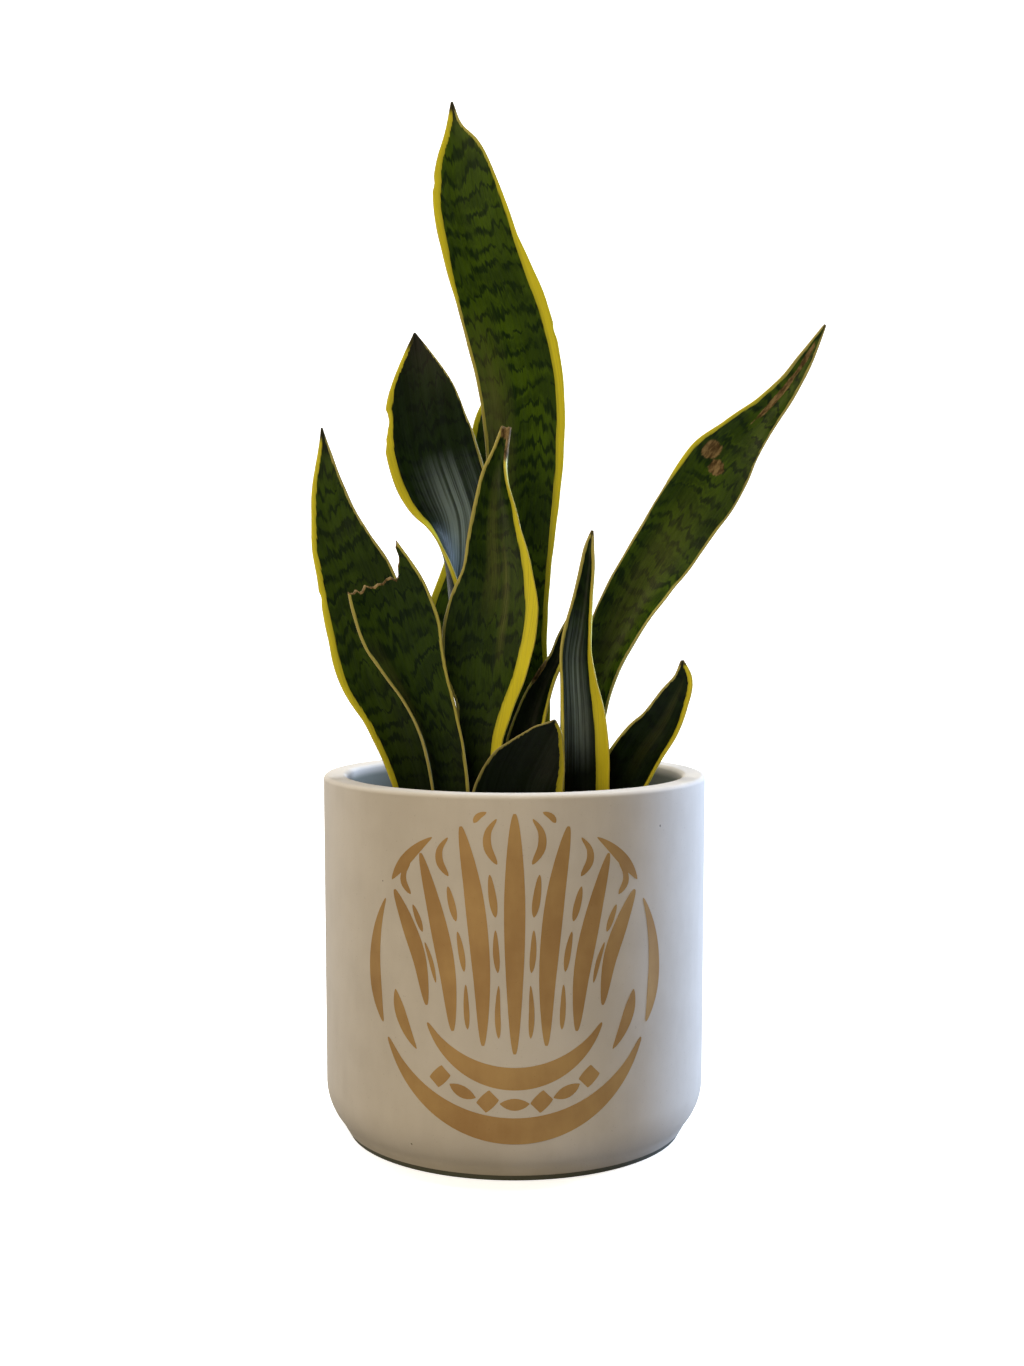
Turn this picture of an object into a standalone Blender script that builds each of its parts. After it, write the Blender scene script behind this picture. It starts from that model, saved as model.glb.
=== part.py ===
"""Potted snake plant: a cast concrete pot, potting mix and eleven rooted leaves.

Metres, +Z up. The origin is the middle of the pot's underside, and -Y is the front.
"""
import math

import bmesh
import bpy
import numpy as np

MM = 0.001

# Lengths below are millimetres until a mesh is made. The pot is a turned shell.
POT_RADIUS = 80.0
POT_RADIUS_LOW = 79.4
POT_HEIGHT = 150.0
POT_WALL = 9.8
POT_FLOOR = 12.0
BASE_RADIUS = 69.8
HEEL_RADIUS = 23.8
HEEL_TOP = 22.2
HEEL_SWEEP = 40.0
RIM_ROUND = 1.6
FLOOR_ROUND = 16.0
POT_STEPS = 64

# Potting mix, filling the pot to a little below its rim.
SOIL_EDGE = 123.0
SOIL_CROWN = 126.0
SOIL_GAP = 0.4
SOIL_STEPS = 48

# Leaves. Each is a strip curled round its midrib and lofted through its stations.
MIDRIB_THICKNESS = 2.6
MARGIN_THICKNESS = 1.0
FULL_THICKNESS_WIDTH = 15.0
RING_SPACING = 11.0
SECTION_POINTS = 7
TORN_DROP = 13.0
TORN_SHOULDER = 0.65
SOCKET_CLEARANCE = 0.5
SOCKET_RINGS = 3

# One row per station, from the base to the tip: the midrib's x, y and z, the blade's width,
# the turn of its face from the front towards +X, and the forward curl of its left and right
# halves. Millimetres and degrees.
LEAVES = {
    "leaf_tall": (
        (4, 14, 104, 17, 0, 45, 45),
        (4, 15, 140, 20, 0, 45, 45),
        (4, 16, 173, 24, 5, 40, 35),
        (1, 18, 205, 27, 8, 35, 30),
        (1, 19, 239, 31, 10, 35, 20),
        (3.5, 18, 284, 36, 12, 35, 15),
        (1.5, 16, 314, 40, 12, 35, 15),
        (-5, 14, 343, 40, 10, 30, 12),
        (-15, 12, 372, 34, 5, 25, 12),
        (-20, 10, 392, 30, 0, 20, 15),
        (-23, 7, 411, 18, 0, 25, 25),
        (-25, 6, 419, 8, 0, 30, 30),
        (-26, 5, 429, 1.2, 0, 30, 30),
    ),
    "leaf_left_centre": (
        (-20, 3, 104, 15, 60, 60, 60),
        (-20, 4, 144, 17, 65, 70, 60),
        (-22, 5, 180, 20, 75, 80, 60),
        (-24, 5, 206, 24, 75, 90, 50),
        (-26, 4, 227, 27, 65, 90, 40),
        (-25, 2, 243, 31, 40, 75, 30),
        (-26, 0, 257, 34, 22, 50, 20),
        (-29.5, -2, 268, 38, 10, 30, 15),
        (-33.5, -4, 280, 39, 5, 25, 12),
        (-36, -6, 291, 37, 3, 20, 12),
        (-38.5, -8, 312, 25, 0, 20, 15),
        (-40, -8, 324, 11, 0, 20, 20),
        (-41, -8, 332, 1.2, 0, 20, 20),
    ),
    "leaf_left": (
        (-38, -8, 104, 17, 0, 50, 50),
        (-41, -8, 144, 20, 0, 50, 45),
        (-50, -10, 176, 28, 0, 40, 35),
        (-56, -11, 193, 35, 0, 30, 25),
        (-60, -12, 212, 36, 0, 20, 20),
        (-65.5, -13, 232, 32, 0, 18, 18),
        (-70.5, -15, 245, 26, 0, 18, 18),
        (-74, -16, 258, 19, 0, 20, 20),
        (-76, -18, 270, 12.8, 0, 20, 20),
        (-77, -19, 282, 6, 0, 20, 20),
        (-78, -20, 292, 1.2, 0, 20, 20),
    ),
    "leaf_left_torn": (
        (-27, -24, 104, 16, 10, 60, 50),
        (-28, -24, 147, 20, 15, 85, 50),
        (-34, -26, 173, 24, 20, 90, 40),
        (-39, -28, 187, 27, 18, 80, 35),
        (-43, -30, 198, 31, 15, 65, 30),
        (-46, -32, 208, 35, 12, 50, 25),
        (-49.5, -34, 220, 34, 8, 40, 20),
        (-53, -36, 231, 30, 5, 35, 20),
        (-57, -38, 243, 22, 5, 30, 20),
    ),
    "leaf_centre": (
        (-15, -12, 104, 16, 0, 45, 45),
        (-15, -12, 144, 20, 0, 50, 50),
        (-14, -13, 167, 22, 0, 45, 50),
        (-12, -14, 179, 26, 0, 35, 50),
        (-11, -15, 192, 36, -3, 25, 50),
        (-10, -16, 207, 40, -3, 20, 35),
        (-8, -17, 221, 38, 0, 20, 35),
        (-7, -17, 234, 31, 5, 25, 45),
        (-8, -16, 249, 25, 10, 30, 60),
        (-8, -15, 261, 20, 10, 40, 80),
        (-7, -14, 273, 15, 0, 50, 120),
        (-5, -12, 283, 10, 0, 60, 160),
        (-3, -10, 293, 6, 0, 70, 160),
    ),
    "leaf_back": (
        (-34, 22, 104, 14, 0, 45, 45),
        (-38, 22, 142, 15, 0, 45, 45),
        (-34, 26, 185, 18, 0, 35, 35),
        (-31, 28, 204, 20, 0, 30, 30),
        (-27, 30, 219, 21, 0, 25, 25),
        (-21, 32, 236, 21, 0, 20, 20),
        (-15, 34, 259, 20, 0, 20, 20),
        (-12, 36, 287, 17, 0, 20, 20),
        (-12, 37, 303, 10, 0, 20, 20),
        (-12, 38, 313, 1.2, 0, 20, 20),
    ),
    "leaf_right": (
        (28, 8, 104, 15, 0, 50, 60),
        (29, 8, 143, 17, 0, 50, 70),
        (31, 9, 165, 18, 5, 45, 90),
        (34, 11, 181, 21, 5, 40, 110),
        (39, 13, 197, 25, 5, 35, 115),
        (45, 14, 210, 28, 5, 30, 110),
        (51, 16, 222, 29, 5, 25, 90),
        (57, 17, 233, 28, 3, 20, 50),
        (65, 18, 245, 29, 0, 18, 25),
        (72, 19, 256, 30, 0, 18, 20),
        (80, 20, 268, 31.5, 0, 20, 15),
        (88, 20, 281, 30, 0, 30, 15),
        (97, 19, 292, 23, 0, 50, 25),
        (108, 18, 303, 16, 0, 50, 60),
        (117, 17, 314, 11, 0, 50, 50),
        (124, 16, 325, 8, 0, 60, 60),
        (132, 15, 339, 1.2, 0, 60, 60),
    ),
    "leaf_narrow": (
        (29, -13, 104, 19, 0, 70, 60),
        (26.5, -13, 145, 30, 0, 120, 60),
        (26.5, -13, 156, 30, 0, 120, 60),
        (26, -12, 179, 25, 0, 110, 60),
        (25.4, -12, 189, 22, 0, 105, 75),
        (25.3, -12, 200, 19, 0, 85, 90),
        (26.9, -12, 210, 16, 0, 60, 110),
        (28.8, -12, 224, 11, 0, 50, 110),
        (30.4, -12, 237, 8, 0, 50, 110),
        (30.8, -12, 244, 5, 0, 50, 90),
        (32, -12, 251, 1.2, 0, 50, 50),
    ),
    "leaf_small_right": (
        (44, -6, 104, 16, 0, 45, 60),
        (46, -6, 144, 25, 0, 40, 105),
        (50, -9, 154, 27, 0, 35, 105),
        (54.5, -12, 162, 25, 0, 30, 100),
        (60.5, -15, 171, 21, 0, 30, 90),
        (65, -19, 181, 16, 0, 30, 80),
        (68.5, -22, 191, 9, 0, 35, 60),
        (68, -24, 198, 1.5, 0, 35, 50),
    ),
    "leaf_dark_back": (
        (3, 0, 104, 16, 0, 50, 60),
        (3, 0, 142, 20, 0, 50, 80),
        (5, 0, 162, 19, 0, 45, 90),
        (9, 1, 177, 15.5, 0, 40, 100),
        (14, 2, 190, 11, 0, 40, 100),
        (18, 2, 198, 8, 0, 40, 90),
        (20, 3, 206, 5.5, 0, 40, 60),
        (24, 3, 217, 1.2, 0, 40, 40),
    ),
    "leaf_front_short": (
        (-4, -30, 104, 22, 0, 40, 40),
        (-1, -32, 125, 34, 5, 35, 45),
        (2, -34, 142, 40, 0, 25, 50),
        (5, -35, 152, 36, 0, 20, 50),
        (9, -36, 160, 28, 0, 20, 45),
        (12.5, -37, 167, 18, 0, 20, 40),
        (15, -38, 172, 9, 0, 20, 40),
        (16, -39, 175, 1.2, 0, 20, 40),
    ),
}

CONCRETE = (0.56, 0.52, 0.47)
SOIL_BROWN = (0.045, 0.032, 0.024)
LEAF_GREEN = (0.045, 0.085, 0.018)
LEAF_GREEN_DARK = (0.018, 0.040, 0.016)
DARK_LEAVES = ("leaf_narrow", "leaf_small_right", "leaf_dark_back", "leaf_front_short")


def clear_scene():
    for obj in list(bpy.data.objects):
        bpy.data.objects.remove(obj)


def material(name, colour, roughness):
    made = bpy.data.materials.new(name)
    made.use_nodes = True
    shader = made.node_tree.nodes["Principled BSDF"]
    shader.inputs["Base Color"].default_value = (*colour, 1.0)
    shader.inputs["Roughness"].default_value = roughness
    shader.inputs["Metallic"].default_value = 0.0
    return made


def object_from(name, bm, surface):
    """Scales the mesh to metres and makes it a smooth-shaded object of the scene."""
    bmesh.ops.scale(bm, vec=(MM, MM, MM), verts=bm.verts)
    bmesh.ops.recalc_face_normals(bm, faces=bm.faces)
    mesh = bpy.data.meshes.new(name)
    bm.to_mesh(mesh)
    bm.free()
    mesh.shade_smooth()
    mesh.set_sharp_from_angle(angle=math.radians(35))
    if surface:
        mesh.materials.append(surface)
    made = bpy.data.objects.new(name, mesh)
    bpy.context.scene.collection.objects.link(made)
    return made


# ---- turned pieces

def arc(centre, radius, start, end, steps):
    """Points on a circle in the radius-height plane, angles in degrees from outwards."""
    angles = np.radians(np.linspace(start, end, steps + 1))
    return [
        (centre[0] + radius * math.cos(a), centre[1] + radius * math.sin(a))
        for a in angles
    ]


def turned(profile, steps):
    """Spins a profile of (radius, height) points round the Z axis into a closed mesh."""
    bm = bmesh.new()
    points = [bm.verts.new((radius, 0.0, height)) for radius, height in profile]
    edges = [bm.edges.new(pair) for pair in zip(points, points[1:])]
    bmesh.ops.spin(
        bm,
        geom=points + edges,
        cent=(0, 0, 0),
        axis=(0, 0, 1),
        angle=math.tau,
        steps=steps,
        use_merge=True,
    )
    bmesh.ops.remove_doubles(bm, verts=bm.verts, dist=1e-4)
    return bm


def inner_corner(gap):
    """The rounded corner between the pot's floor and its inner wall, moved in by a gap."""
    wall = POT_RADIUS - POT_WALL
    centre = (wall - FLOOR_ROUND, POT_FLOOR + FLOOR_ROUND)
    return arc(centre, FLOOR_ROUND - gap, 0, -90, 4)


def make_pot():
    heel_centre = (POT_RADIUS_LOW - HEEL_RADIUS, HEEL_TOP)
    rim_outer = (POT_RADIUS - RIM_ROUND, POT_HEIGHT - RIM_ROUND)
    rim_inner = (POT_RADIUS - POT_WALL + RIM_ROUND, POT_HEIGHT - RIM_ROUND)
    profile = [
        (0.0, 0.0),
        (BASE_RADIUS, 0.0),
        *arc(heel_centre, HEEL_RADIUS, -HEEL_SWEEP, 0, 5),
        *arc(rim_outer, RIM_ROUND, 0, 90, 2),
        *arc(rim_inner, RIM_ROUND, 90, 180, 2),
        *inner_corner(0.0),
        (0.0, POT_FLOOR),
    ]
    return object_from("pot", turned(profile, POT_STEPS), material("pot_concrete", CONCRETE, 0.85))


# ---- leaves

def along(stations, distances):
    """The station values, and their rates of change, at distances from the base along the midrib."""
    rows = np.array(stations, float)
    reach = np.linalg.norm(np.diff(rows[:, :3], axis=0), axis=1)
    places = np.concatenate([[0.0], np.cumsum(reach)])
    rates = np.diff(rows, axis=0) / reach[:, None]
    slopes = np.concatenate([
        rates[:1],
        (rates[:-1] * reach[1:, None] + rates[1:] * reach[:-1, None]) / (reach[1:] + reach[:-1])[:, None],
        rates[-1:],
    ])
    first = np.clip(np.searchsorted(places, distances, side="right") - 1, 0, len(reach) - 1)
    step = reach[first][:, None]
    u = (distances[:, None] - places[first][:, None]) / step
    start, end = rows[first], rows[first + 1]
    leave, arrive = slopes[first] * step, slopes[first + 1] * step
    values = (
        (2 * u**3 - 3 * u**2 + 1) * start
        + (u**3 - 2 * u**2 + u) * leave
        + (3 * u**2 - 2 * u**3) * end
        + (u**3 - u**2) * arrive
    )
    change = (
        (6 * u**2 - 6 * u) * (start - end)
        + (3 * u**2 - 4 * u + 1) * leave
        + (3 * u**2 - 2 * u) * arrive
    ) / step
    return values, change


def leaf_length(stations):
    rows = np.array(stations, float)[:, :3]
    return float(np.linalg.norm(np.diff(rows, axis=0), axis=1).sum())


def blade(stations, distances, side, grow=0.0):
    """Front and back points of the blade at one place across it, side from -1 to 1."""
    values, change = along(stations, distances)
    tangent = change[:, :3] / np.linalg.norm(change[:, :3], axis=1)[:, None]
    across = np.cross(tangent, (0.0, -1.0, 0.0))
    across /= np.linalg.norm(across, axis=1)[:, None]
    facing = np.cross(across, tangent)
    turn = np.radians(values[:, 4])[:, None]
    across, facing = (
        across * np.cos(turn) - facing * np.sin(turn),
        facing * np.cos(turn) + across * np.sin(turn),
    )
    width = np.maximum(values[:, 3], 1.0)
    curl = np.radians(np.maximum(values[:, 5] if side < 0 else values[:, 6], 1.0))
    radius = (width / 2 / curl)[:, None]
    angle = (abs(side) * curl)[:, None]
    across *= math.copysign(1.0, side)
    outward = facing * np.cos(angle) - across * np.sin(angle)
    middle = values[:, :3] + radius * (across * np.sin(angle) + (1 - np.cos(angle)) * facing)
    if abs(side) == 1.0:
        middle += (across * np.cos(angle) + facing * np.sin(angle)) * grow
    swell = (MIDRIB_THICKNESS - MARGIN_THICKNESS) * np.minimum(1.0, width / FULL_THICKNESS_WIDTH)
    half = (MARGIN_THICKNESS + swell * (1 - side**2)) / 2 + grow
    return middle + outward * half[:, None], middle - outward * half[:, None]


def torn_end(length, side):
    """How far up a torn leaf reaches: in full at its right margin, less to the left of it."""
    fall = min(1.0, (1.0 - side) / TORN_SHOULDER)
    return length - TORN_DROP * fall * fall * (3 - 2 * fall)


def blade_mesh(stations, distances_at, grow=0.0):
    """A closed strip. distances_at gives the rings' distances at a place across the blade."""
    bm = bmesh.new()
    front, back = [], []
    for side in np.linspace(-1.0, 1.0, SECTION_POINTS):
        fore, aft = blade(stations, distances_at(side), side, grow)
        front.append([bm.verts.new(point) for point in fore])
        back.append([bm.verts.new(point) for point in aft])
    rings = len(front[0]) - 1
    for j in range(SECTION_POINTS - 1):
        for i in range(rings):
            bm.faces.new((front[j][i], front[j + 1][i], front[j + 1][i + 1], front[j][i + 1]))
            bm.faces.new((back[j][i], back[j][i + 1], back[j + 1][i + 1], back[j + 1][i]))
        for i in (0, rings):
            bm.faces.new((front[j][i], front[j + 1][i], back[j + 1][i], back[j][i]))
    for j in (0, SECTION_POINTS - 1):
        for i in range(rings):
            bm.faces.new((front[j][i], front[j][i + 1], back[j][i + 1], back[j][i]))
    bmesh.ops.triangulate(bm, faces=bm.faces, quad_method="FIXED")
    return bm


def ring_count(length):
    return round(length / RING_SPACING)


def make_leaf(name, stations):
    length = leaf_length(stations)

    def distances_at(side):
        end = torn_end(length, side) if name.endswith("torn") else length
        return np.linspace(0.0, end, ring_count(length) + 1)

    colour = LEAF_GREEN_DARK if name in DARK_LEAVES else LEAF_GREEN
    bm = blade_mesh(stations, distances_at)
    return object_from(name, bm, material(name + "_green", colour, 0.4))


def make_socket(name, stations):
    """The space that a leaf's base takes up in the mix, a little larger than the base."""
    length = leaf_length(stations)
    distances = np.arange(SOCKET_RINGS + 1) * length / ring_count(length)
    distances[0] -= SOCKET_CLEARANCE
    bm = blade_mesh(stations, lambda side: distances, SOCKET_CLEARANCE)
    socket = object_from(name.replace("leaf", "socket"), bm, None)
    socket.hide_render = True
    socket.display_type = "WIRE"
    return socket


# ---- potting mix

def make_soil(sockets):
    wall = POT_RADIUS - POT_WALL - SOIL_GAP
    profile = [
        (0.0, POT_FLOOR + SOIL_GAP),
        *reversed(inner_corner(SOIL_GAP)),
        (wall, SOIL_EDGE),
        (wall * 0.9, SOIL_EDGE + 0.6),
        (wall * 0.5, SOIL_CROWN - 0.6),
        (0.0, SOIL_CROWN),
    ]
    soil = object_from(
        "potting_mix", turned(profile, SOIL_STEPS), material("potting_mix_brown", SOIL_BROWN, 0.95)
    )
    for socket in sockets:
        cut = soil.modifiers.new(socket.name, "BOOLEAN")
        cut.operation = "DIFFERENCE"
        cut.solver = "EXACT"
        cut.object = socket
    return soil


clear_scene()
make_pot()
for leaf_name, leaf_stations in LEAVES.items():
    make_leaf(leaf_name, leaf_stations)
make_soil([make_socket(leaf_name, leaf_stations) for leaf_name, leaf_stations in LEAVES.items()])
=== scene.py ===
# %% [markdown]
# # A potted snake plant
# The real object is a cast concrete pot, a fill of potting mix and eleven stiff leaves that
# stand up from it. The measured model of those pieces is loaded first and never changed. This
# file then gives each piece its finished surface, and a light, a floor and a camera to see it by.

# %% The measured frame
import math

import bmesh
import bpy
import numpy as np
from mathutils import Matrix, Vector


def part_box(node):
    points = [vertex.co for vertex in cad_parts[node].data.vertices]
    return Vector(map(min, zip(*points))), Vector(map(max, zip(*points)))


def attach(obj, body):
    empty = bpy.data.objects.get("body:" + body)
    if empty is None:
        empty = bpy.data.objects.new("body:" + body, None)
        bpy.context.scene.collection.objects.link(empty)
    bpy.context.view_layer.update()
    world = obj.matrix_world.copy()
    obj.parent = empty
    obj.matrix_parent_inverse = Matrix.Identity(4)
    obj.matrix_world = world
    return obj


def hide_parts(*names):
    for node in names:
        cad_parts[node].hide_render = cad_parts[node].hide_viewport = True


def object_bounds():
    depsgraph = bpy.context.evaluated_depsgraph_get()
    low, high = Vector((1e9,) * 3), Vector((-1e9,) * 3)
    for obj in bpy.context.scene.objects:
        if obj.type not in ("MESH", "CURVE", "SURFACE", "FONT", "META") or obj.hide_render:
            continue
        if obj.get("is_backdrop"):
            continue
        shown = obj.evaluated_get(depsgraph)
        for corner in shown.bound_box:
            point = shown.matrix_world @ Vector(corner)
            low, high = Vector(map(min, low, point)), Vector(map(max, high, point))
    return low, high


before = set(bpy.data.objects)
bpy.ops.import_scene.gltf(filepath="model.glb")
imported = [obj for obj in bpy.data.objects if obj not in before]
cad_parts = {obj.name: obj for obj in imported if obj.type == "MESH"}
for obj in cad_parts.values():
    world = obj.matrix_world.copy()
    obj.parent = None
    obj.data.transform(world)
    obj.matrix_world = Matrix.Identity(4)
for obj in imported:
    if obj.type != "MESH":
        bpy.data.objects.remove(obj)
cad_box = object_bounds()
MM = 0.001
pot_low, pot_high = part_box("pot")
POT_RADIUS = (pot_high[0] - pot_low[0]) / 2
POT_HEIGHT = pot_high[2]
print("nodes:", ", ".join(sorted(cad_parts)))
print(f"pot: radius {POT_RADIUS / MM:.1f} mm, height {POT_HEIGHT / MM:.1f} mm")

# %% [markdown]
# ## Camera, floor and light
# A camera at leaf height, tipped down a little, sees the rim of the pot as a thin ellipse and
# the leaves almost side on. The lens is given for a 36 mm sensor's long side.

# %% Camera
camera_data = bpy.data.cameras.new("camera")
camera_data.sensor_width = 36.0
camera_data.lens = 42.76
camera_data.clip_start = 0.01
camera = bpy.data.objects.new("camera", camera_data)
camera.location = (-0.001, -0.681, 0.225)
camera.rotation_euler = (math.radians(90.0 - 3.15), 0.0, 0.0)
bpy.context.scene.collection.objects.link(camera)
bpy.context.scene.camera = camera
print("camera stands", round(-camera.location.y, 3), "m in front of the pot's middle")

# %% [markdown]
# The floor is a photographer's sweep: a sheet that lies flat under the pot and curves up behind
# it, so that no line shows where the floor ends. Its profile is a line, an arc and a line. The
# camera sees it as bright white paper, while every other ray meets a dull grey, so that the white
# floor doesn't light the leaves and the pot from below.

# %% Helpers for meshes
def link(name, mesh, surface=None):
    """Puts a mesh in the scene as an object at the origin, with one material."""
    if surface is not None:
        mesh.materials.append(surface)
    made = bpy.data.objects.new(name, mesh)
    bpy.context.scene.collection.objects.link(made)
    return made


def grid_mesh(name, rows, wrap=False):
    """A mesh from rows of points. With wrap, each row closes on itself."""
    rows = np.asarray(rows, float)
    count, across = rows.shape[:2]
    last = across if wrap else across - 1
    i, j = np.meshgrid(np.arange(count - 1), np.arange(last), indexing="ij")
    k = (j + 1) % across
    faces = np.stack([i * across + j, i * across + k, (i + 1) * across + k, (i + 1) * across + j], -1)
    mesh = bpy.data.meshes.new(name)
    mesh.from_pydata(rows.reshape(-1, 3).tolist(), [], faces.reshape(-1, 4).tolist())
    return mesh


def principled(name, colour=(0.5, 0.5, 0.5), roughness=0.5):
    """A new material, and its node tree and Principled BSDF."""
    made = bpy.data.materials.new(name)
    made.use_nodes = True
    shader = made.node_tree.nodes["Principled BSDF"]
    shader.inputs["Base Color"].default_value = (*colour, 1.0)
    shader.inputs["Roughness"].default_value = roughness
    return made, made.node_tree, shader


# %% Floor
SWEEP_FRONT, SWEEP_BACK, SWEEP_ROUND, SWEEP_TOP, SWEEP_SIDE = -2.5, 1.6, 0.9, 4.0, 3.5
PAPER_SEEN, PAPER_GLOW, PAPER_BOUNCE = (0.92, 0.92, 0.92, 1.0), 0.72, (0.30, 0.29, 0.28, 1.0)
turn = np.radians(np.linspace(0.0, 90.0, 25))
profile = [(SWEEP_FRONT, 0.0),
           *zip(SWEEP_BACK + SWEEP_ROUND * np.sin(turn), SWEEP_ROUND * (1 - np.cos(turn))),
           (SWEEP_BACK + SWEEP_ROUND, SWEEP_TOP)]
rows = [[(x, y, z) for x in (SWEEP_SIDE, -SWEEP_SIDE)] for y, z in profile]
paper, tree, shader = principled("pale_paper", (0.9, 0.9, 0.9), 0.9)
seen = tree.nodes.new("ShaderNodeLightPath").outputs["Is Camera Ray"]
tone = tree.nodes.new("ShaderNodeMix")
tone.data_type = "RGBA"
tone.inputs[6].default_value = PAPER_BOUNCE
tone.inputs[7].default_value = PAPER_SEEN
glow = tree.nodes.new("ShaderNodeMath")
glow.operation = "MULTIPLY"
glow.inputs[1].default_value = PAPER_GLOW
shader.inputs["Emission Color"].default_value = (1.0, 1.0, 1.0, 1.0)
for output, socket in ((seen, tone.inputs[0]), (seen, glow.inputs[0]),
                       (tone.outputs[2], shader.inputs["Base Color"]),
                       (glow.outputs[0], shader.inputs["Emission Strength"])):
    tree.links.new(output, socket)
floor = link("floor", grid_mesh("floor", rows), paper)
floor.data.shade_smooth()
floor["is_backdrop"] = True
print("floor points:", len(floor.data.vertices))

# %% [markdown]
# ## Light
# Daylight falls on the plant from two sides. A broad warm light on the front left fills the
# whole pot. A colder, stronger one on the right grazes its right edge, and a narrow one behind
# on the left draws the thin bright line on the other edge. One overhead reaches the rim and the
# mix, one more whitens the backdrop, and the world adds a weak warm fill.

# %% Lights
PLANT_MIDDLE = (0, 0, 0.2)
WORLD_COLOUR, WORLD_STRENGTH = (1.0, 0.94, 0.84, 1.0), 0.10


def soft_light(name, place, aim, size, watts, colour):
    """A rectangular area light at a place, turned to face its aim."""
    data = bpy.data.lights.new(name, "AREA")
    data.shape = "RECTANGLE"
    data.size, data.size_y = size
    data.energy = watts
    data.color = colour
    lamp = bpy.data.objects.new(name, data)
    lamp.location = place
    lamp.rotation_euler = (Vector(aim) - Vector(place)).to_track_quat("-Z", "Y").to_euler()
    bpy.context.scene.collection.objects.link(lamp)


soft_light("warm_left", (-0.7, -1.4, 0.75), PLANT_MIDDLE, (1.0, 1.0), 15.0, (1.0, 0.80, 0.50))
soft_light("cold_right", (1.15, 0.65, 0.50), PLANT_MIDDLE, (0.5, 0.9), 40.0, (0.60, 0.74, 1.0))
soft_light("edge_left", (-1.0, 0.75, 0.45), PLANT_MIDDLE, (0.4, 0.9), 8.0, (1.0, 0.96, 0.90))
soft_light("overhead", (0.0, 0.2, 2.6), (0, 0.2, 0.0), (0.7, 0.7), 46.0, (1.0, 0.97, 0.90))
soft_light("backdrop", (0.0, 0.9, 2.4), (0, 2.3, 0.6), (2.4, 0.8), 40.0, (1.0, 1.0, 1.0))
world = bpy.data.worlds.new("studio")
world.use_nodes = True
world.node_tree.nodes["Background"].inputs["Color"].default_value = WORLD_COLOUR
world.node_tree.nodes["Background"].inputs["Strength"].default_value = WORLD_STRENGTH
bpy.context.scene.world = world
bpy.context.scene.view_settings.view_transform = "Standard"

# %% [markdown]
# ## Node helpers
# Every finish below is a node tree built in code. Small helpers keep those trees short enough to
# read. They add any node, do arithmetic, blend two colours, fade a value, draw noise, start a
# group and join sockets.

# %% Node helpers
def add(tree, kind, settings=None, **inputs):
    """Adds a node. An input's name has _ for a space; it takes a value, or a socket to link."""
    made = tree.nodes.new(kind)
    for key, value in (settings or {}).items():
        setattr(made, key, value)
    for key, value in inputs.items():
        socket = made.inputs[key.replace("_", " ")]
        if isinstance(value, bpy.types.NodeSocket):
            tree.links.new(value, socket)
        else:
            socket.default_value = value
    return made


def maths(tree, operation, a, b=0.0):
    made = tree.nodes.new("ShaderNodeMath")
    made.operation = operation
    for socket, value in zip(made.inputs, (a, b)):
        if isinstance(value, bpy.types.NodeSocket):
            tree.links.new(value, socket)
        else:
            socket.default_value = value
    return made.outputs[0]


def plus(tree, a, b):
    return maths(tree, "ADD", a, b)


def minus(tree, a, b):
    return maths(tree, "SUBTRACT", a, b)


def times(tree, a, b):
    return maths(tree, "MULTIPLY", a, b)


def to_mm(tree, place):
    """The place scaled from metres to millimetres."""
    return add(tree, "ShaderNodeVectorMath", {"operation": "SCALE"}, Vector=place, Scale=1000.0).outputs[0]


def mix(tree, factor, first, second, way="MIX"):
    made = tree.nodes.new("ShaderNodeMix")
    made.data_type = "RGBA"
    made.blend_type = way
    for index, value in ((0, factor), (6, first), (7, second)):
        if isinstance(value, bpy.types.NodeSocket):
            tree.links.new(value, made.inputs[index])
        elif index == 0:
            made.inputs[0].default_value = value
        else:
            made.inputs[index].default_value = (*value, 1.0)
    return made.outputs[2]


def fade(tree, value, start, end, to=(0.0, 1.0)):
    """A smooth step of a value, from to[0] at start to to[1] at end."""
    made = add(tree, "ShaderNodeMapRange", {"interpolation_type": "SMOOTHSTEP"}, Value=value,
               From_Min=start, From_Max=end, To_Min=to[0], To_Max=to[1])
    return made.outputs["Result"]


def noise(tree, place, scale=(1.0, 1.0, 1.0), detail=2.0, rough=0.5, shift=(0.0, 0.0, 0.0)):
    """Smooth noise, about 0 to 1, with its own scale along each axis of the place."""
    spread = add(tree, "ShaderNodeMapping", Vector=place, Scale=scale, Location=shift)
    made = add(tree, "ShaderNodeTexNoise", Vector=spread.outputs[0], Scale=1.0, Detail=detail,
               Roughness=rough)
    return made.outputs["Fac"]


def new_group(name, inputs, outputs):
    """A shader node group with named sockets, each given as name: (kind, default)."""
    tree = bpy.data.node_groups.new(name, "ShaderNodeTree")
    for direction, sockets in (("INPUT", inputs), ("OUTPUT", outputs)):
        for label, (kind, default) in sockets.items():
            socket = tree.interface.new_socket(label, in_out=direction, socket_type="NodeSocket" + kind)
            if default is not None:
                socket.default_value = default
    return tree, tree.nodes.new("NodeGroupInput").outputs, tree.nodes.new("NodeGroupOutput").inputs


def join(tree, pairs):
    for output, socket in pairs:
        tree.links.new(output, socket)


print("node helpers ready")
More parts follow.
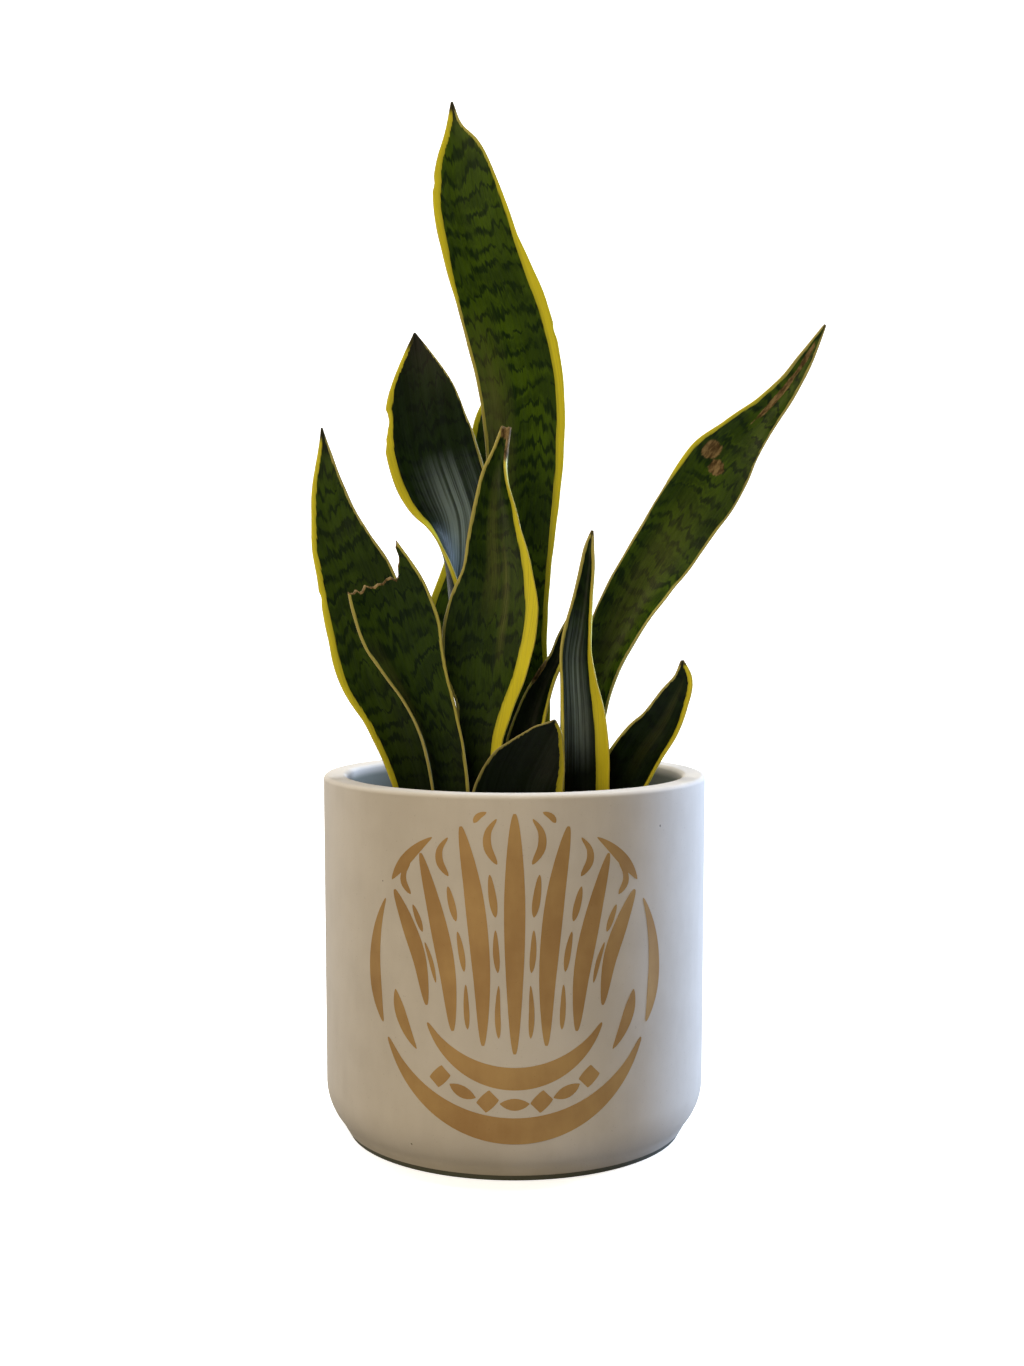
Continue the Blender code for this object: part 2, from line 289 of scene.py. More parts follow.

# %% [markdown]
# ## Cast concrete
# The pot is fine concrete, poured in a mould. Its face is smooth, with a sandy grain, a few
# pinholes left by air and slow changes of tone from damp and handling. Inside, below the rim,
# the wall is drawn darker as painted shade. The gold paint lies over the same face, so grain and
# pinholes are a group that both materials share.

# %% Cast grain group
PINHOLES_PER_MM, PINHOLE_SHARE = 0.085, 0.62
grain, given, out = new_group(
    "cast_grain",
    {"Place": ("Vector", None), "Pinhole Size": ("Float", 0.45), "Sand": ("Float", 1.0)},
    {label: ("Float", None) for label in ("Tone", "Pinholes", "Speckle", "Height")},
)
in_mm = to_mm(grain, given["Place"])
cloud = noise(grain, in_mm, (0.022, 0.022, 0.030), 4.0, 0.55)
smear = noise(grain, in_mm, (0.10, 0.10, 0.035), 3.0, 0.6, (7.0, 2.0, 5.0))
tone = plus(grain, times(grain, cloud, 0.65), times(grain, smear, 0.35))
cells = add(grain, "ShaderNodeTexVoronoi", Vector=in_mm, Scale=PINHOLES_PER_MM, Randomness=1.0)
draw = add(grain, "ShaderNodeSeparateColor", Color=cells.outputs["Color"]).outputs[0]
some = maths(grain, "GREATER_THAN", draw, PINHOLE_SHARE)
near = times(grain, cells.outputs["Distance"], 1.0 / PINHOLES_PER_MM)
wobble = noise(grain, in_mm, (1.6, 1.6, 1.6), 2.0, 0.5)
size = times(grain, given["Pinhole Size"], plus(grain, wobble, 0.5))
hole = maths(grain, "LESS_THAN", near, size)
pinholes = times(grain, hole, some)
sand = noise(grain, in_mm, (2.6, 2.6, 2.6), 3.0, 0.7)
speckle = fade(grain, noise(grain, in_mm, (1.3, 1.3, 1.3), 1.0, 0.5, (3.0, 9.0, 1.0)), 0.70, 0.78)
low = minus(grain, times(grain, times(grain, sand, given["Sand"]), 0.05),
            times(grain, pinholes, 0.45))
height = plus(grain, low, times(grain, smear, 0.12))
join(grain, [(tone, out["Tone"]), (pinholes, out["Pinholes"]), (speckle, out["Speckle"]),
             (height, out["Height"])])
print("cast grain:", len(grain.nodes), "nodes")

# %% Concrete and gold paint
# Painted shade: the inner wall below the rim is drawn darker, where shade falls inside the pot.
INSIDE_SHADE_RADIUS, INSIDE_SHADE_TOP, INSIDE_SHADE_FULL, INSIDE_SHADE_COLOUR = 0.0712, 0.1488, 0.1445, (0.065, 0.080, 0.060)


def cast_material(name, tones, hole_colour, roughness, metallic=0.0, bump=0.6, inside_shade=0.0):
    """A material over the cast grain. Tones are its dark and light colour; the last argument paints shade on the
    inner wall.
    """
    made, tree, shader = principled(name, tones[1], roughness)
    place = add(tree, "ShaderNodeTexCoord").outputs["Object"]
    face = add(tree, "ShaderNodeGroup", {"node_tree": grain}, Place=place)
    base = mix(tree, fade(tree, face.outputs["Tone"], 0.34, 0.66), *tones)
    base = mix(tree, times(tree, face.outputs["Speckle"], 0.18), base, hole_colour)
    base = mix(tree, times(tree, face.outputs["Pinholes"], 0.8), base, hole_colour)
    # Painted shade on the inner wall, below the rim.
    if inside_shade:
        spot = add(tree, "ShaderNodeSeparateXYZ", Vector=place)
        radius = maths(tree, "SQRT", plus(tree, maths(tree, "POWER", spot.outputs["X"], 2.0),
                                           maths(tree, "POWER", spot.outputs["Y"], 2.0)))
        shaded_inside = times(tree, maths(tree, "LESS_THAN", radius, INSIDE_SHADE_RADIUS),
                       fade(tree, spot.outputs["Z"], INSIDE_SHADE_TOP, INSIDE_SHADE_FULL, (0.0, inside_shade)))
        base = mix(tree, shaded_inside, base, INSIDE_SHADE_COLOUR)
    rough = plus(tree, times(tree, face.outputs["Tone"], 0.16), roughness - 0.08)
    raised = add(tree, "ShaderNodeBump", Height=face.outputs["Height"], Strength=bump, Distance=0.0006)
    join(tree, [(base, shader.inputs["Base Color"]), (rough, shader.inputs["Roughness"]),
                (raised.outputs[0], shader.inputs["Normal"])])
    shader.inputs["Metallic"].default_value = metallic
    return made


concrete = cast_material("cast_concrete", ((0.50, 0.47, 0.43), (0.56, 0.53, 0.49)),
                         (0.10, 0.085, 0.07), 0.78, inside_shade=0.92)
gold = cast_material("gold_paint", ((0.33, 0.19, 0.065), (0.44, 0.28, 0.105)),
                     (0.09, 0.06, 0.03), 0.5, 0.2, 0.4)
print("concrete and gold paint made")

# %% [markdown]
# ## The pot
# The pot is round all the way down, so it is a profile turned about its axis: a flat underside,
# a short chamfer, a round heel, a straight wall that leans out by less than a millimetre, a
# rounded rim and a thick inner wall. The steps are fine enough that the outline looks round.

# %% Turned shapes
def arc(centre, radius, start, end, steps):
    """Points on a circle in the radius-height plane, angles in degrees from outwards."""
    angles = np.radians(np.linspace(start, end, steps + 1))
    return [(centre[0] + radius * math.cos(a), centre[1] + radius * math.sin(a)) for a in angles]


def line(start, end, steps):
    """Points between two ends, without the ends."""
    shares = np.linspace(0.0, 1.0, steps + 1)[1:-1, None]
    return [tuple(p) for p in (1 - shares) * np.array(start) + shares * np.array(end)]


def turned(name, profile, steps, surface, sharp=40.0):
    """Turns a profile, from the axis round to the axis, into a closed smooth mesh."""
    around = np.linspace(0.0, math.tau, steps, endpoint=False)
    r, z = np.array(profile).T
    rows = np.stack([np.outer(r, np.cos(around)), np.outer(r, np.sin(around)),
                     np.repeat(z[:, None], steps, axis=1)], -1) * MM
    mesh = grid_mesh(name, rows, wrap=True)
    bm = bmesh.new()
    bm.from_mesh(mesh)
    bmesh.ops.remove_doubles(bm, verts=bm.verts, dist=1e-6)
    bmesh.ops.recalc_face_normals(bm, faces=bm.faces)
    bm.to_mesh(mesh)
    bm.free()
    mesh.shade_smooth()
    mesh.set_sharp_from_angle(angle=math.radians(sharp))
    return link(name, mesh, surface)


# %% Pot
PAINT = 0.12
WALL_LOW, WALL_TOP = POT_RADIUS / MM - 0.6 - PAINT, POT_RADIUS / MM - PAINT
HEEL_RADIUS, HEEL_TOP, HEEL_SWEEP = 23.8, 22.2, 40.0
RIM_ROUND, RIM_TOP = 1.9, POT_HEIGHT / MM
WALL_IN, FLOOR, FLOOR_ROUND = 70.3, 12.0, 16.0
FOOT_MIDDLE, FOOT_RADIUS, FOOT_EDGE = 40.0, 69.4, (69.9, 0.25)
POT_STEPS, POT_SHARP = 224, 28.0


def wall_radius(z):
    """The outer wall's radius at a height, both in mm."""
    share = (z - HEEL_TOP) / (RIM_TOP - RIM_ROUND - HEEL_TOP)
    return WALL_LOW + (WALL_TOP - WALL_LOW) * share


heel_centre = (WALL_LOW - HEEL_RADIUS, HEEL_TOP)
heel = arc(heel_centre, HEEL_RADIUS, -HEEL_SWEEP, 0, 14)
rim = [*arc((WALL_TOP - RIM_ROUND, RIM_TOP - RIM_ROUND), RIM_ROUND, 0, 90, 7),
       *line((WALL_TOP - RIM_ROUND, RIM_TOP), (WALL_IN + RIM_ROUND, RIM_TOP), 4),
       *arc((WALL_IN + RIM_ROUND, RIM_TOP - RIM_ROUND), RIM_ROUND, 90, 180, 7)]
inside = [*line(rim[-1], (WALL_IN, FLOOR + FLOOR_ROUND), 8),
          *arc((WALL_IN - FLOOR_ROUND, FLOOR + FLOOR_ROUND), FLOOR_ROUND, 0, -90, 8), (0.0, FLOOR)]
profile = [(0.0, 0.0), (FOOT_MIDDLE, 0.0), (FOOT_RADIUS, 0.0), FOOT_EDGE, *line(FOOT_EDGE, heel[0], 4),
           *heel, *line(heel[-1], rim[0], 16), *rim, *inside]
pot = turned("pot_body", profile, POT_STEPS, concrete, POT_SHARP)
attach(pot, "root")
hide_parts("pot")
print("pot faces:", len(pot.data.polygons))

# %% [markdown]
# ## The gold roundel
# A round ornament is painted on the front: a fan of blades over two bowls, with seeds between.
# Every mark is a brush stroke, which is a line with a width that swells and tapers. The strokes
# are planned flat, in millimetres about the roundel's middle, and mirrored left to right. One
# geometry node tree then gives each line its width, wraps it onto the wall and adds a skin of
# paint, so a stroke can be moved without any thought for the curve of the pot.

# %% Stroke plan
ROUNDEL_HEIGHT = 82.0
STROKE_STEP = 1.2


def path(points, count):
    """A smooth line of count points through a few points (Catmull-Rom)."""
    p = np.array([points[0], *points, points[-1]], float)
    t = np.linspace(0.0, len(points) - 1 - 1e-9, count)
    i = t.astype(int)
    u = (t - i)[:, None]
    a, b, c, d = p[i], p[i + 1], p[i + 2], p[i + 3]
    return 0.5 * (2 * b + (c - a) * u + (2 * a - 5 * b + 4 * c - d) * u**2
                  + (3 * b - a - 3 * c + d) * u**3)


def stroke(points, width, peak=0.5, ends=(0.12, 0.12)):
    """A brush stroke: its line, and its half width along it, widest at the peak share."""
    reach = np.linalg.norm(np.diff(np.array(points, float), axis=0), axis=1).sum()
    middle = path(points, max(8, round(reach / STROKE_STEP)))
    share = np.linspace(0.0, 1.0, len(middle))
    rise = np.where(share < peak, share / peak, (1 - share) / (1 - peak))
    least = np.where(share < peak, ends[0], ends[1])
    return middle, width / 2 * (least + (1 - least) * np.sin(np.clip(rise, 0, 1) * math.pi / 2) ** 0.8)


def bow(radius, start, end, width, peak=0.5, centre=(0.0, 0.0)):
    """A stroke along an arc, angles in degrees from the right."""
    angles = np.radians(np.linspace(start, end, 13))
    points = [(centre[0] + radius * math.cos(a), centre[1] + radius * math.sin(a)) for a in angles]
    return stroke(points, width, peak, (0.06, 0.06))


def mirrored(strokes):
    return strokes + [(middle * (-1, 1), half) for middle, half in strokes]


# %% Strokes
blades = mirrored([
    stroke([(12, -27), (12.5, 0), (15.5, 30), (20.5, 56)], 7.6, 0.55),
    stroke([(23.8, -22), (25.8, 0), (30.5, 22), (37, 45)], 7.2, 0.5),
    stroke([(34.5, -13), (37.5, 4), (43, 18), (49, 30)], 6.4, 0.5),
]) + [stroke([(0, -30), (0, 0), (0, 30), (0, 61)], 8.0, 0.6)]
bowls = [bow(39.5, -150, -30, 8.6), bow(59.5, -152, -28, 10.0)] + mirrored([
    bow(59.5, -22, 26, 6.0, 0.35), bow(49.5, -38, -10, 5.0, 0.6), bow(60.5, 34, 58, 4.6, 0.4),
])
hooks = mirrored([
    stroke([(6.6, 42), (10.0, 48), (10.0, 54), (6.8, 59)], 3.2, 0.35),
    stroke([(25.4, 37), (28.8, 42), (28.8, 47), (25.6, 51.5)], 3.0, 0.35),
    stroke([(41.4, 29), (44.4, 33), (44.4, 37), (41.6, 41)], 2.8, 0.35),
    stroke([(15.4, 57.5), (13.6, 60), (10.6, 61.5)], 2.4, 0.4),
])
seeds = [stroke([(x - 2.5, y - 2.5), (x + 2.5, y + 2.5)], 6.0, 0.5, (0.85, 0.85)) for x, y in
         [(49.3 * math.sin(a), -49.3 * math.cos(a)) for a in np.radians((-36, -12, 12, 36))]]
drops = [bow(49.3, a - 6.5, a + 6.5, 4.6) for a in (-114, -90, -66)] + mirrored([
    stroke([(6.0, -24), (6.4, -14), (6.0, -4)], 2.2, 0.35),
    stroke([(6.3, 1), (7.0, 9), (7.2, 17)], 2.4, 0.4),
    stroke([(7.2, 22), (8.4, 30), (9.4, 38)], 3.0, 0.4),
    stroke([(17.9, -21), (18.4, -12), (18.6, -4)], 2.2, 0.35),
    stroke([(19.2, 1), (20.4, 9), (21.8, 16)], 2.4, 0.4),
    stroke([(22.4, 20), (24.2, 27), (25.6, 33)], 2.8, 0.4),
    stroke([(30.6, -4), (32.6, 4), (35.2, 11)], 1.8, 0.45),
    stroke([(36.2, 15), (38.2, 20), (40.4, 25)], 2.4, 0.45),
])
strokes = blades + bowls + hooks + seeds + drops
widest = max(float(np.linalg.norm(middle, axis=1).max()) for middle, _ in strokes)
print(len(strokes), f"strokes, all within {widest:.1f} mm of the roundel's middle")

# %% Brush tree
def brush_tree():
    """Widens flat lines by their radius, wraps them round a leaning wall and sets the paint."""
    tree = bpy.data.node_groups.new("brush_stroke", "GeometryNodeTree")
    tree.interface.new_socket("Lines", in_out="INPUT", socket_type="NodeSocketGeometry")
    for label, value in (("Paint", PAINT * MM), ("Height", ROUNDEL_HEIGHT * MM),
                         ("Wall Radius", wall_radius(0.0) * MM),
                         ("Lean", (wall_radius(100.0) - wall_radius(0.0)) / 100.0)):
        tree.interface.new_socket(label, in_out="INPUT", socket_type="NodeSocketFloat").default_value = value
    tree.interface.new_socket("Paint Material", in_out="INPUT", socket_type="NodeSocketMaterial")
    tree.interface.new_socket("Strokes", in_out="OUTPUT", socket_type="NodeSocketGeometry")
    given = tree.nodes.new("NodeGroupInput").outputs
    up = add(tree, "GeometryNodeSetCurveNormal", {"mode": "Z_UP"}, Curve=given["Lines"])
    square = add(tree, "GeometryNodeCurvePrimitiveQuadrilateral", Width=2.0, Height=2.0)
    widened = add(tree, "GeometryNodeCurveToMesh", Curve=up.outputs[0], Profile_Curve=square.outputs[0],
                  Fill_Caps=True)
    if "Scale" in widened.inputs:
        tree.links.new(add(tree, "GeometryNodeInputRadius").outputs[0], widened.inputs["Scale"])
    flat = add(tree, "ShaderNodeSeparateXYZ", Vector=add(tree, "GeometryNodeInputPosition").outputs[0])
    z = plus(tree, flat.outputs["Y"], given["Height"])
    wall = plus(tree, given["Wall Radius"], times(tree, z, given["Lean"]))
    skin = times(tree, maths(tree, "SIGN", flat.outputs["Z"]), given["Paint"])
    radius = plus(tree, wall, times(tree, skin, 0.9))
    angle = maths(tree, "DIVIDE", flat.outputs["X"], wall)
    x = times(tree, radius, maths(tree, "SINE", angle))
    y = times(tree, radius, times(tree, maths(tree, "COSINE", angle), -1.0))
    wrapped = add(tree, "GeometryNodeSetPosition", Geometry=widened.outputs[0],
                  Position=add(tree, "ShaderNodeCombineXYZ", X=x, Y=y, Z=z).outputs[0])
    real = add(tree, "GeometryNodeRealizeInstances", Geometry=wrapped.outputs[0])
    painted = add(tree, "GeometryNodeSetMaterial", Geometry=real.outputs[0], Material=given["Paint Material"])
    tree.links.new(painted.outputs[0], tree.nodes.new("NodeGroupOutput").inputs[0])
    return tree


def baked(name, source, tree, values):
    """Runs a node tree on an object and keeps the result as a plain mesh object."""
    modifier = source.modifiers.new("nodes", "NODES")
    modifier.node_group = tree
    named = {item.name: item.identifier for item in tree.interface.items_tree if item.item_type == "SOCKET"}
    for label, value in values.items():
        modifier[named[label]] = value
    mesh = bpy.data.meshes.new_from_object(source.evaluated_get(bpy.context.evaluated_depsgraph_get()))
    mesh.name = name
    source.modifiers.clear()
    bpy.data.objects.remove(source)
    return link(name, mesh)


# %% Roundel
lines = bpy.data.curves.new("stroke_lines", "CURVE")
lines.dimensions = "3D"
for middle, half in strokes:
    spline = lines.splines.new("POLY")
    spline.points.add(len(middle) - 1)
    for point, place, radius in zip(spline.points, middle * MM, half * MM):
        point.co = (*place, 0.0, 1.0)
        point.radius = radius
line_object = bpy.data.objects.new("stroke_lines", lines)
bpy.context.scene.collection.objects.link(line_object)
roundel = baked("gold_roundel", line_object, brush_tree(), {"Paint Material": gold})
roundel.data.set_sharp_from_angle(angle=math.radians(30.0))
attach(roundel, "root")
print("roundel faces:", len(roundel.data.polygons))

# %% [markdown]
# ## Potting mix
# The mix is dark, fibrous and crumbly. Its surface is a turned disc pushed up and down by noise,
# and a geometry node tree scatters crumbs of bark and a few pale grains of perlite over it. Four
# small lumps, turned and scaled at random, are enough for hundreds of crumbs.

# %% Mix materials
def crumb_material(name, dark, light, size):
    made, tree, shader = principled(name, light, 0.9)
    place = add(tree, "ShaderNodeTexCoord").outputs["Object"]
    in_mm = to_mm(tree, place)
    patch = noise(tree, in_mm, (size, size, size), 4.0, 0.65)
    fibre = noise(tree, in_mm, (0.6, 2.4, 1.2), 3.0, 0.6, (4.0, 1.0, 2.0))
    base = mix(tree, fade(tree, patch, 0.35, 0.68), dark, light)
    raised = add(tree, "ShaderNodeBump", Height=plus(tree, patch, fibre), Strength=0.8, Distance=0.0008)
    join(tree, [(base, shader.inputs["Base Color"]), (raised.outputs[0], shader.inputs["Normal"])])
    shader.inputs["Specular IOR Level"].default_value = 0.2
    return made


mix_brown = crumb_material("potting_mix_brown", (0.012, 0.008, 0.006), (0.060, 0.040, 0.026), 0.35)
bark_brown = crumb_material("bark_crumb", (0.022, 0.013, 0.008), (0.125, 0.075, 0.042), 0.5)
perlite = crumb_material("perlite_grain", (0.50, 0.48, 0.44), (0.78, 0.77, 0.74), 0.7)
print("mix materials made")

# %% Mix body
MIX_RADIUS, MIX_EDGE, MIX_CROWN, MIX_GAP = 69.9, 123.0, 125.8, 0.4
MIX_STEPS, MIX_SHARP = 72, 60.0
TOP_LOW, TOP_REACH = 0.1228, 0.0695
mix_profile = [(0.0, FLOOR + MIX_GAP), (WALL_IN - FLOOR_ROUND, FLOOR + MIX_GAP),
               *arc((WALL_IN - FLOOR_ROUND, FLOOR + FLOOR_ROUND), FLOOR_ROUND - MIX_GAP, -90, 0, 5),
               (MIX_RADIUS, 60.0), (MIX_RADIUS, 100.0), (MIX_RADIUS, MIX_EDGE),
               *[(MIX_RADIUS * r, MIX_EDGE + (MIX_CROWN - MIX_EDGE) * (1 - r * r))
                 for r in np.linspace(0.98, 0.03, 34)],
               (0.0, MIX_CROWN)]
soil = turned("potting_mix_bed", mix_profile, MIX_STEPS, mix_brown, MIX_SHARP)
swell = bpy.data.textures.new("mix_swell", "CLOUDS")
swell.noise_scale = 0.011
swell.noise_depth = 3
top = soil.vertex_groups.new(name="top")
top.add([v.index for v in soil.data.vertices if v.co.z > TOP_LOW and v.co.xy.length < TOP_REACH],
        1.0, "REPLACE")
lumps = soil.modifiers.new("lumps", "DISPLACE")
lumps.texture, lumps.strength, lumps.mid_level, lumps.direction = swell, 0.0045, 0.5, "Z"
lumps.vertex_group, lumps.texture_coords = "top", "LOCAL"
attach(soil, "root")
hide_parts("potting_mix")
print("mix bed faces:", len(soil.data.polygons))

# %% Crumb shapes
def lump(name, seed, stretch):
    """A small rough stone of 80 triangles."""
    draw = np.random.default_rng(seed)
    bm = bmesh.new()
    bmesh.ops.create_icosphere(bm, subdivisions=2, radius=0.5)
    for vertex in bm.verts:
        vertex.co *= float(draw.uniform(0.78, 1.08))
        vertex.co = Vector((vertex.co.x * stretch[0], vertex.co.y * stretch[1], vertex.co.z * stretch[2]))
    mesh = bpy.data.meshes.new(name)
    bm.to_mesh(mesh)
    bm.free()
    crumb_shapes.objects.link(bpy.data.objects.new(name, mesh))


crumb_shapes = bpy.data.collections.new("crumb_shapes")
for number, stretch in enumerate(((1, 1, 0.8), (1.5, 0.8, 0.5), (0.9, 1.1, 1.0), (2.3, 0.55, 0.4))):
    lump(f"lump_{number}", 40 + number, stretch)

# %% Scatter tree
def scatter_tree(name):
    """Scatters the shapes of a collection over a bed's flat ground, then makes them real."""
    tree = bpy.data.node_groups.new(name, "GeometryNodeTree")
    tree.interface.new_socket("Bed", in_out="INPUT", socket_type="NodeSocketGeometry")
    for label, value in (("Spacing", 0.003), ("Smallest", 0.001), ("Largest", 0.003), ("Ground", 0.1225),
                         ("Density", 2e5)):
        tree.interface.new_socket(label, in_out="INPUT", socket_type="NodeSocketFloat").default_value = value
    tree.interface.new_socket("Seed", in_out="INPUT", socket_type="NodeSocketInt")
    tree.interface.new_socket("Shapes", in_out="INPUT", socket_type="NodeSocketCollection")
    tree.interface.new_socket("Finish", in_out="INPUT", socket_type="NodeSocketMaterial")
    tree.interface.new_socket("Crumbs", in_out="OUTPUT", socket_type="NodeSocketGeometry")
    given = tree.nodes.new("NodeGroupInput").outputs
    spot = add(tree, "ShaderNodeSeparateXYZ", Vector=add(tree, "GeometryNodeInputPosition").outputs[0])
    facing = add(tree, "ShaderNodeSeparateXYZ", Vector=add(tree, "GeometryNodeInputNormal").outputs[0])
    ground = times(tree, maths(tree, "GREATER_THAN", spot.outputs["Z"], given["Ground"]),
                   maths(tree, "GREATER_THAN", facing.outputs["Z"], 0.3))
    points = add(tree, "GeometryNodeDistributePointsOnFaces", {"distribute_method": "POISSON"},
                 Mesh=given["Bed"], Selection=ground, Distance_Min=given["Spacing"],
                 Density_Max=given["Density"], Seed=given["Seed"])
    shapes = add(tree, "GeometryNodeCollectionInfo", Collection=given["Shapes"], Separate_Children=True,
                 Reset_Children=True)
    turn = tree.nodes.new("FunctionNodeRandomValue")
    turn.data_type = "FLOAT_VECTOR"
    turn.inputs[1].default_value = (math.tau, math.tau, math.tau)
    size = tree.nodes.new("FunctionNodeRandomValue")
    join(tree, [(given["Smallest"], size.inputs[2]), (given["Largest"], size.inputs[3]),
                (given["Seed"], size.inputs["Seed"])])
    placed = add(tree, "GeometryNodeInstanceOnPoints", Points=points.outputs["Points"],
                 Instance=shapes.outputs[0], Pick_Instance=True, Rotation=turn.outputs[0], Scale=size.outputs[1])
    real = add(tree, "GeometryNodeRealizeInstances", Geometry=placed.outputs[0])
    done = add(tree, "GeometryNodeSetMaterial", Geometry=real.outputs[0], Material=given["Finish"])
    tree.links.new(done.outputs[0], tree.nodes.new("NodeGroupOutput").inputs[0])
    return tree


# %% Crumbs
scatter = scatter_tree("scatter_crumbs")
for name, finish, values in (
    ("fine_crumbs", mix_brown, {"Spacing": 0.0024, "Smallest": 0.0010, "Largest": 0.0026, "Seed": 3}),
    ("bark_crumbs", bark_brown,
     {"Spacing": 0.0040, "Smallest": 0.0022, "Largest": 0.0046, "Seed": 8, "Density": 2.6e4}),
    ("perlite_grains", perlite,
     {"Spacing": 0.0030, "Smallest": 0.0011, "Largest": 0.0028, "Seed": 21, "Density": 3.2e3}),
):
    bed = bpy.data.objects.new(name + "_bed", soil.data)
    bpy.context.scene.collection.objects.link(bed)
    crumbs = baked(name, bed, scatter, {**values, "Shapes": crumb_shapes, "Finish": finish})
    crumbs.data.shade_smooth()
    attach(crumbs, "root")
    print(name, "faces:", len(crumbs.data.polygons))

# %% [markdown]
# ## Leaf skin
# A snake plant's leaf is waxy and stiff. Its face is mid green, crossed by dark bands whose
# edges are drawn out in fine zigzags along the leaf. A yellow stripe runs down each margin, and
# where it meets the green, thin streaks of one run into the other. Pale blue streaks on dark
# leaves are a painted reflection of light on the wax, and a painted highlight lightens faces that
# catch the light. Dry places are tan. Each leaf carries its own measurements as attributes:
# `blade` is the place on the leaf in mm, across and along, and `marks` holds the distance to the
# margin less the stripe's width, the distance to the margin, and the painted reflection. The third
# attribute holds how dry it is, its painted shade and its painted highlight.

# %% Leaf skin group
BAND_SPACING = 8.2
# SHADOW is painted shade; the second colour is a painted highlight for faces that catch the light.
SHADOW, HIGHLIGHT_GREEN = (0.0025, 0.004, 0.0015), (0.165, 0.175, 0.055)
# The first colour below is a painted reflection of light on the wax.
REFLECTION_BLUE, DRY_RIM = (0.36, 0.49, 0.56), (0.34, 0.24, 0.10)
skin, given, out = new_group(
    "leaf_skin",
    {"Blade": ("Vector", None), "Marks": ("Vector", None), "Dry": ("Float", 0.0),
     "Light Green": ("Color", (0.1, 0.15, 0.02, 1)), "Dark Green": ("Color", (0.01, 0.03, 0.01, 1)),
     "Stripe": ("Color", (0.7, 0.6, 0.05, 1)), "Banding": ("Float", 0.85), "Shade": ("Float", 0.0),
     "Pale": ("Float", 0.0)},
    {"Color": ("Color", None), "Roughness": ("Float", None), "Height": ("Float", None)},
)
marks = add(skin, "ShaderNodeSeparateXYZ", Vector=given["Marks"])
place = add(skin, "ShaderNodeSeparateXYZ", Vector=given["Blade"])
zigzag = minus(skin, noise(skin, given["Blade"], (0.30, 0.035, 1.0), 2.0, 0.6), 0.5)
fringe = minus(skin, noise(skin, given["Blade"], (1.35, 0.11, 1.0), 2.0, 0.6, (5, 3, 0)), 0.5)
sweep = minus(skin, noise(skin, given["Blade"], (0.045, 0.02, 1.0), 2.0, 0.5, (1, 9, 0)), 0.5)
bent = plus(skin, times(skin, zigzag, 14.0), times(skin, fringe, 5.0))
bent = plus(skin, bent, times(skin, sweep, 24.0))
along = plus(skin, place.outputs["Y"], bent)
phase = maths(skin, "FRACT", maths(skin, "DIVIDE", along, BAND_SPACING))
gap = maths(skin, "ABSOLUTE", minus(skin, phase, 0.5))
thick = fade(skin, noise(skin, given["Blade"], (0.14, 0.05, 1.0), 2.0, 0.5, (7, 7, 0)),
             0.32, 0.66, (0.10, 0.40))
line_dark = fade(skin, gap, thick, times(skin, thick, 0.35))
broken = fade(skin, noise(skin, given["Blade"], (0.20, 0.09, 1.0), 2.0, 0.5, (4, 4, 0)), 0.32, 0.48)
rung = add(skin, "ShaderNodeCombineXYZ", X=times(skin, place.outputs["X"], 0.020),
           Y=times(skin, along, 0.085), Z=place.outputs["Z"])
band = add(skin, "ShaderNodeTexNoise", Vector=rung.outputs[0], Scale=1.0, Detail=2.5,
           Roughness=0.62).outputs["Fac"]
zone = times(skin, fade(skin, band, 0.48, 0.60), 0.55)
dark = times(skin, maths(skin, "MAXIMUM", times(skin, line_dark, broken), zone), given["Banding"])
blotch = fade(skin, noise(skin, given["Blade"], (0.07, 0.020, 1.0), 3.0, 0.6, (2, 6, 0)),
              0.35, 0.70, (0.0, 0.50))
green = mix(skin, blotch, given["Light Green"], given["Dark Green"])
green = mix(skin, times(skin, fade(skin, fringe, -0.02, 0.2), 0.35), green, given["Dark Green"])
green = mix(skin, dark, green, given["Dark Green"])
fine = noise(skin, given["Blade"], (2.6, 0.02, 1.0), 2.0, 0.6, (8, 1, 0))
green = mix(skin, fade(skin, fine, 0.40, 0.75, (0.0, 0.30)), green, given["Light Green"])
# Painted highlight: a lighter olive where a face catches the light.
worn_and_lit = times(skin, given["Pale"], fade(skin, fine, 0.30, 0.60, (0.45, 1.0)))
green = mix(skin, worn_and_lit, green, HIGHLIGHT_GREEN)
print("leaf skin started:", len(skin.nodes), "nodes")

# %% Leaf skin stripes, bloom and dry places
streak = minus(skin, noise(skin, given["Blade"], (1.5, 0.012, 1.0), 2.0, 0.55, (3, 3, 0)), 0.5)
wander = minus(skin, noise(skin, given["Blade"], (0.02, 0.035, 1.0), 2.0, 0.5, (6, 2, 0)), 0.5)
ragged = plus(skin, marks.outputs["X"],
               plus(skin, times(skin, streak, 1.6), times(skin, wander, 1.2)))
yellow = fade(skin, ragged, 0.22, -0.22)
stripe = mix(skin, fade(skin, fine, 0.42, 0.72, (0.0, 0.35)), given["Stripe"], (0.30, 0.30, 0.03))
deep = fade(skin, ragged, -0.3, -1.6, (0.35, 0.0))
stripe = mix(skin, deep, stripe, (0.25, 0.27, 0.03))
width = minus(skin, marks.outputs["Y"], marks.outputs["X"])
stripe = mix(skin, fade(skin, width, 0.9, 1.7), (0.40, 0.37, 0.11), stripe)
green = mix(skin, given["Shade"], green, SHADOW)
stripe = mix(skin, fade(skin, given["Shade"], 0.6, 1.0), stripe, SHADOW)
colour = mix(skin, yellow, green, stripe)
rim = fade(skin, marks.outputs["Y"], 0.40, 0.10, (0.0, 0.35))
colour = mix(skin, rim, colour, DRY_RIM)
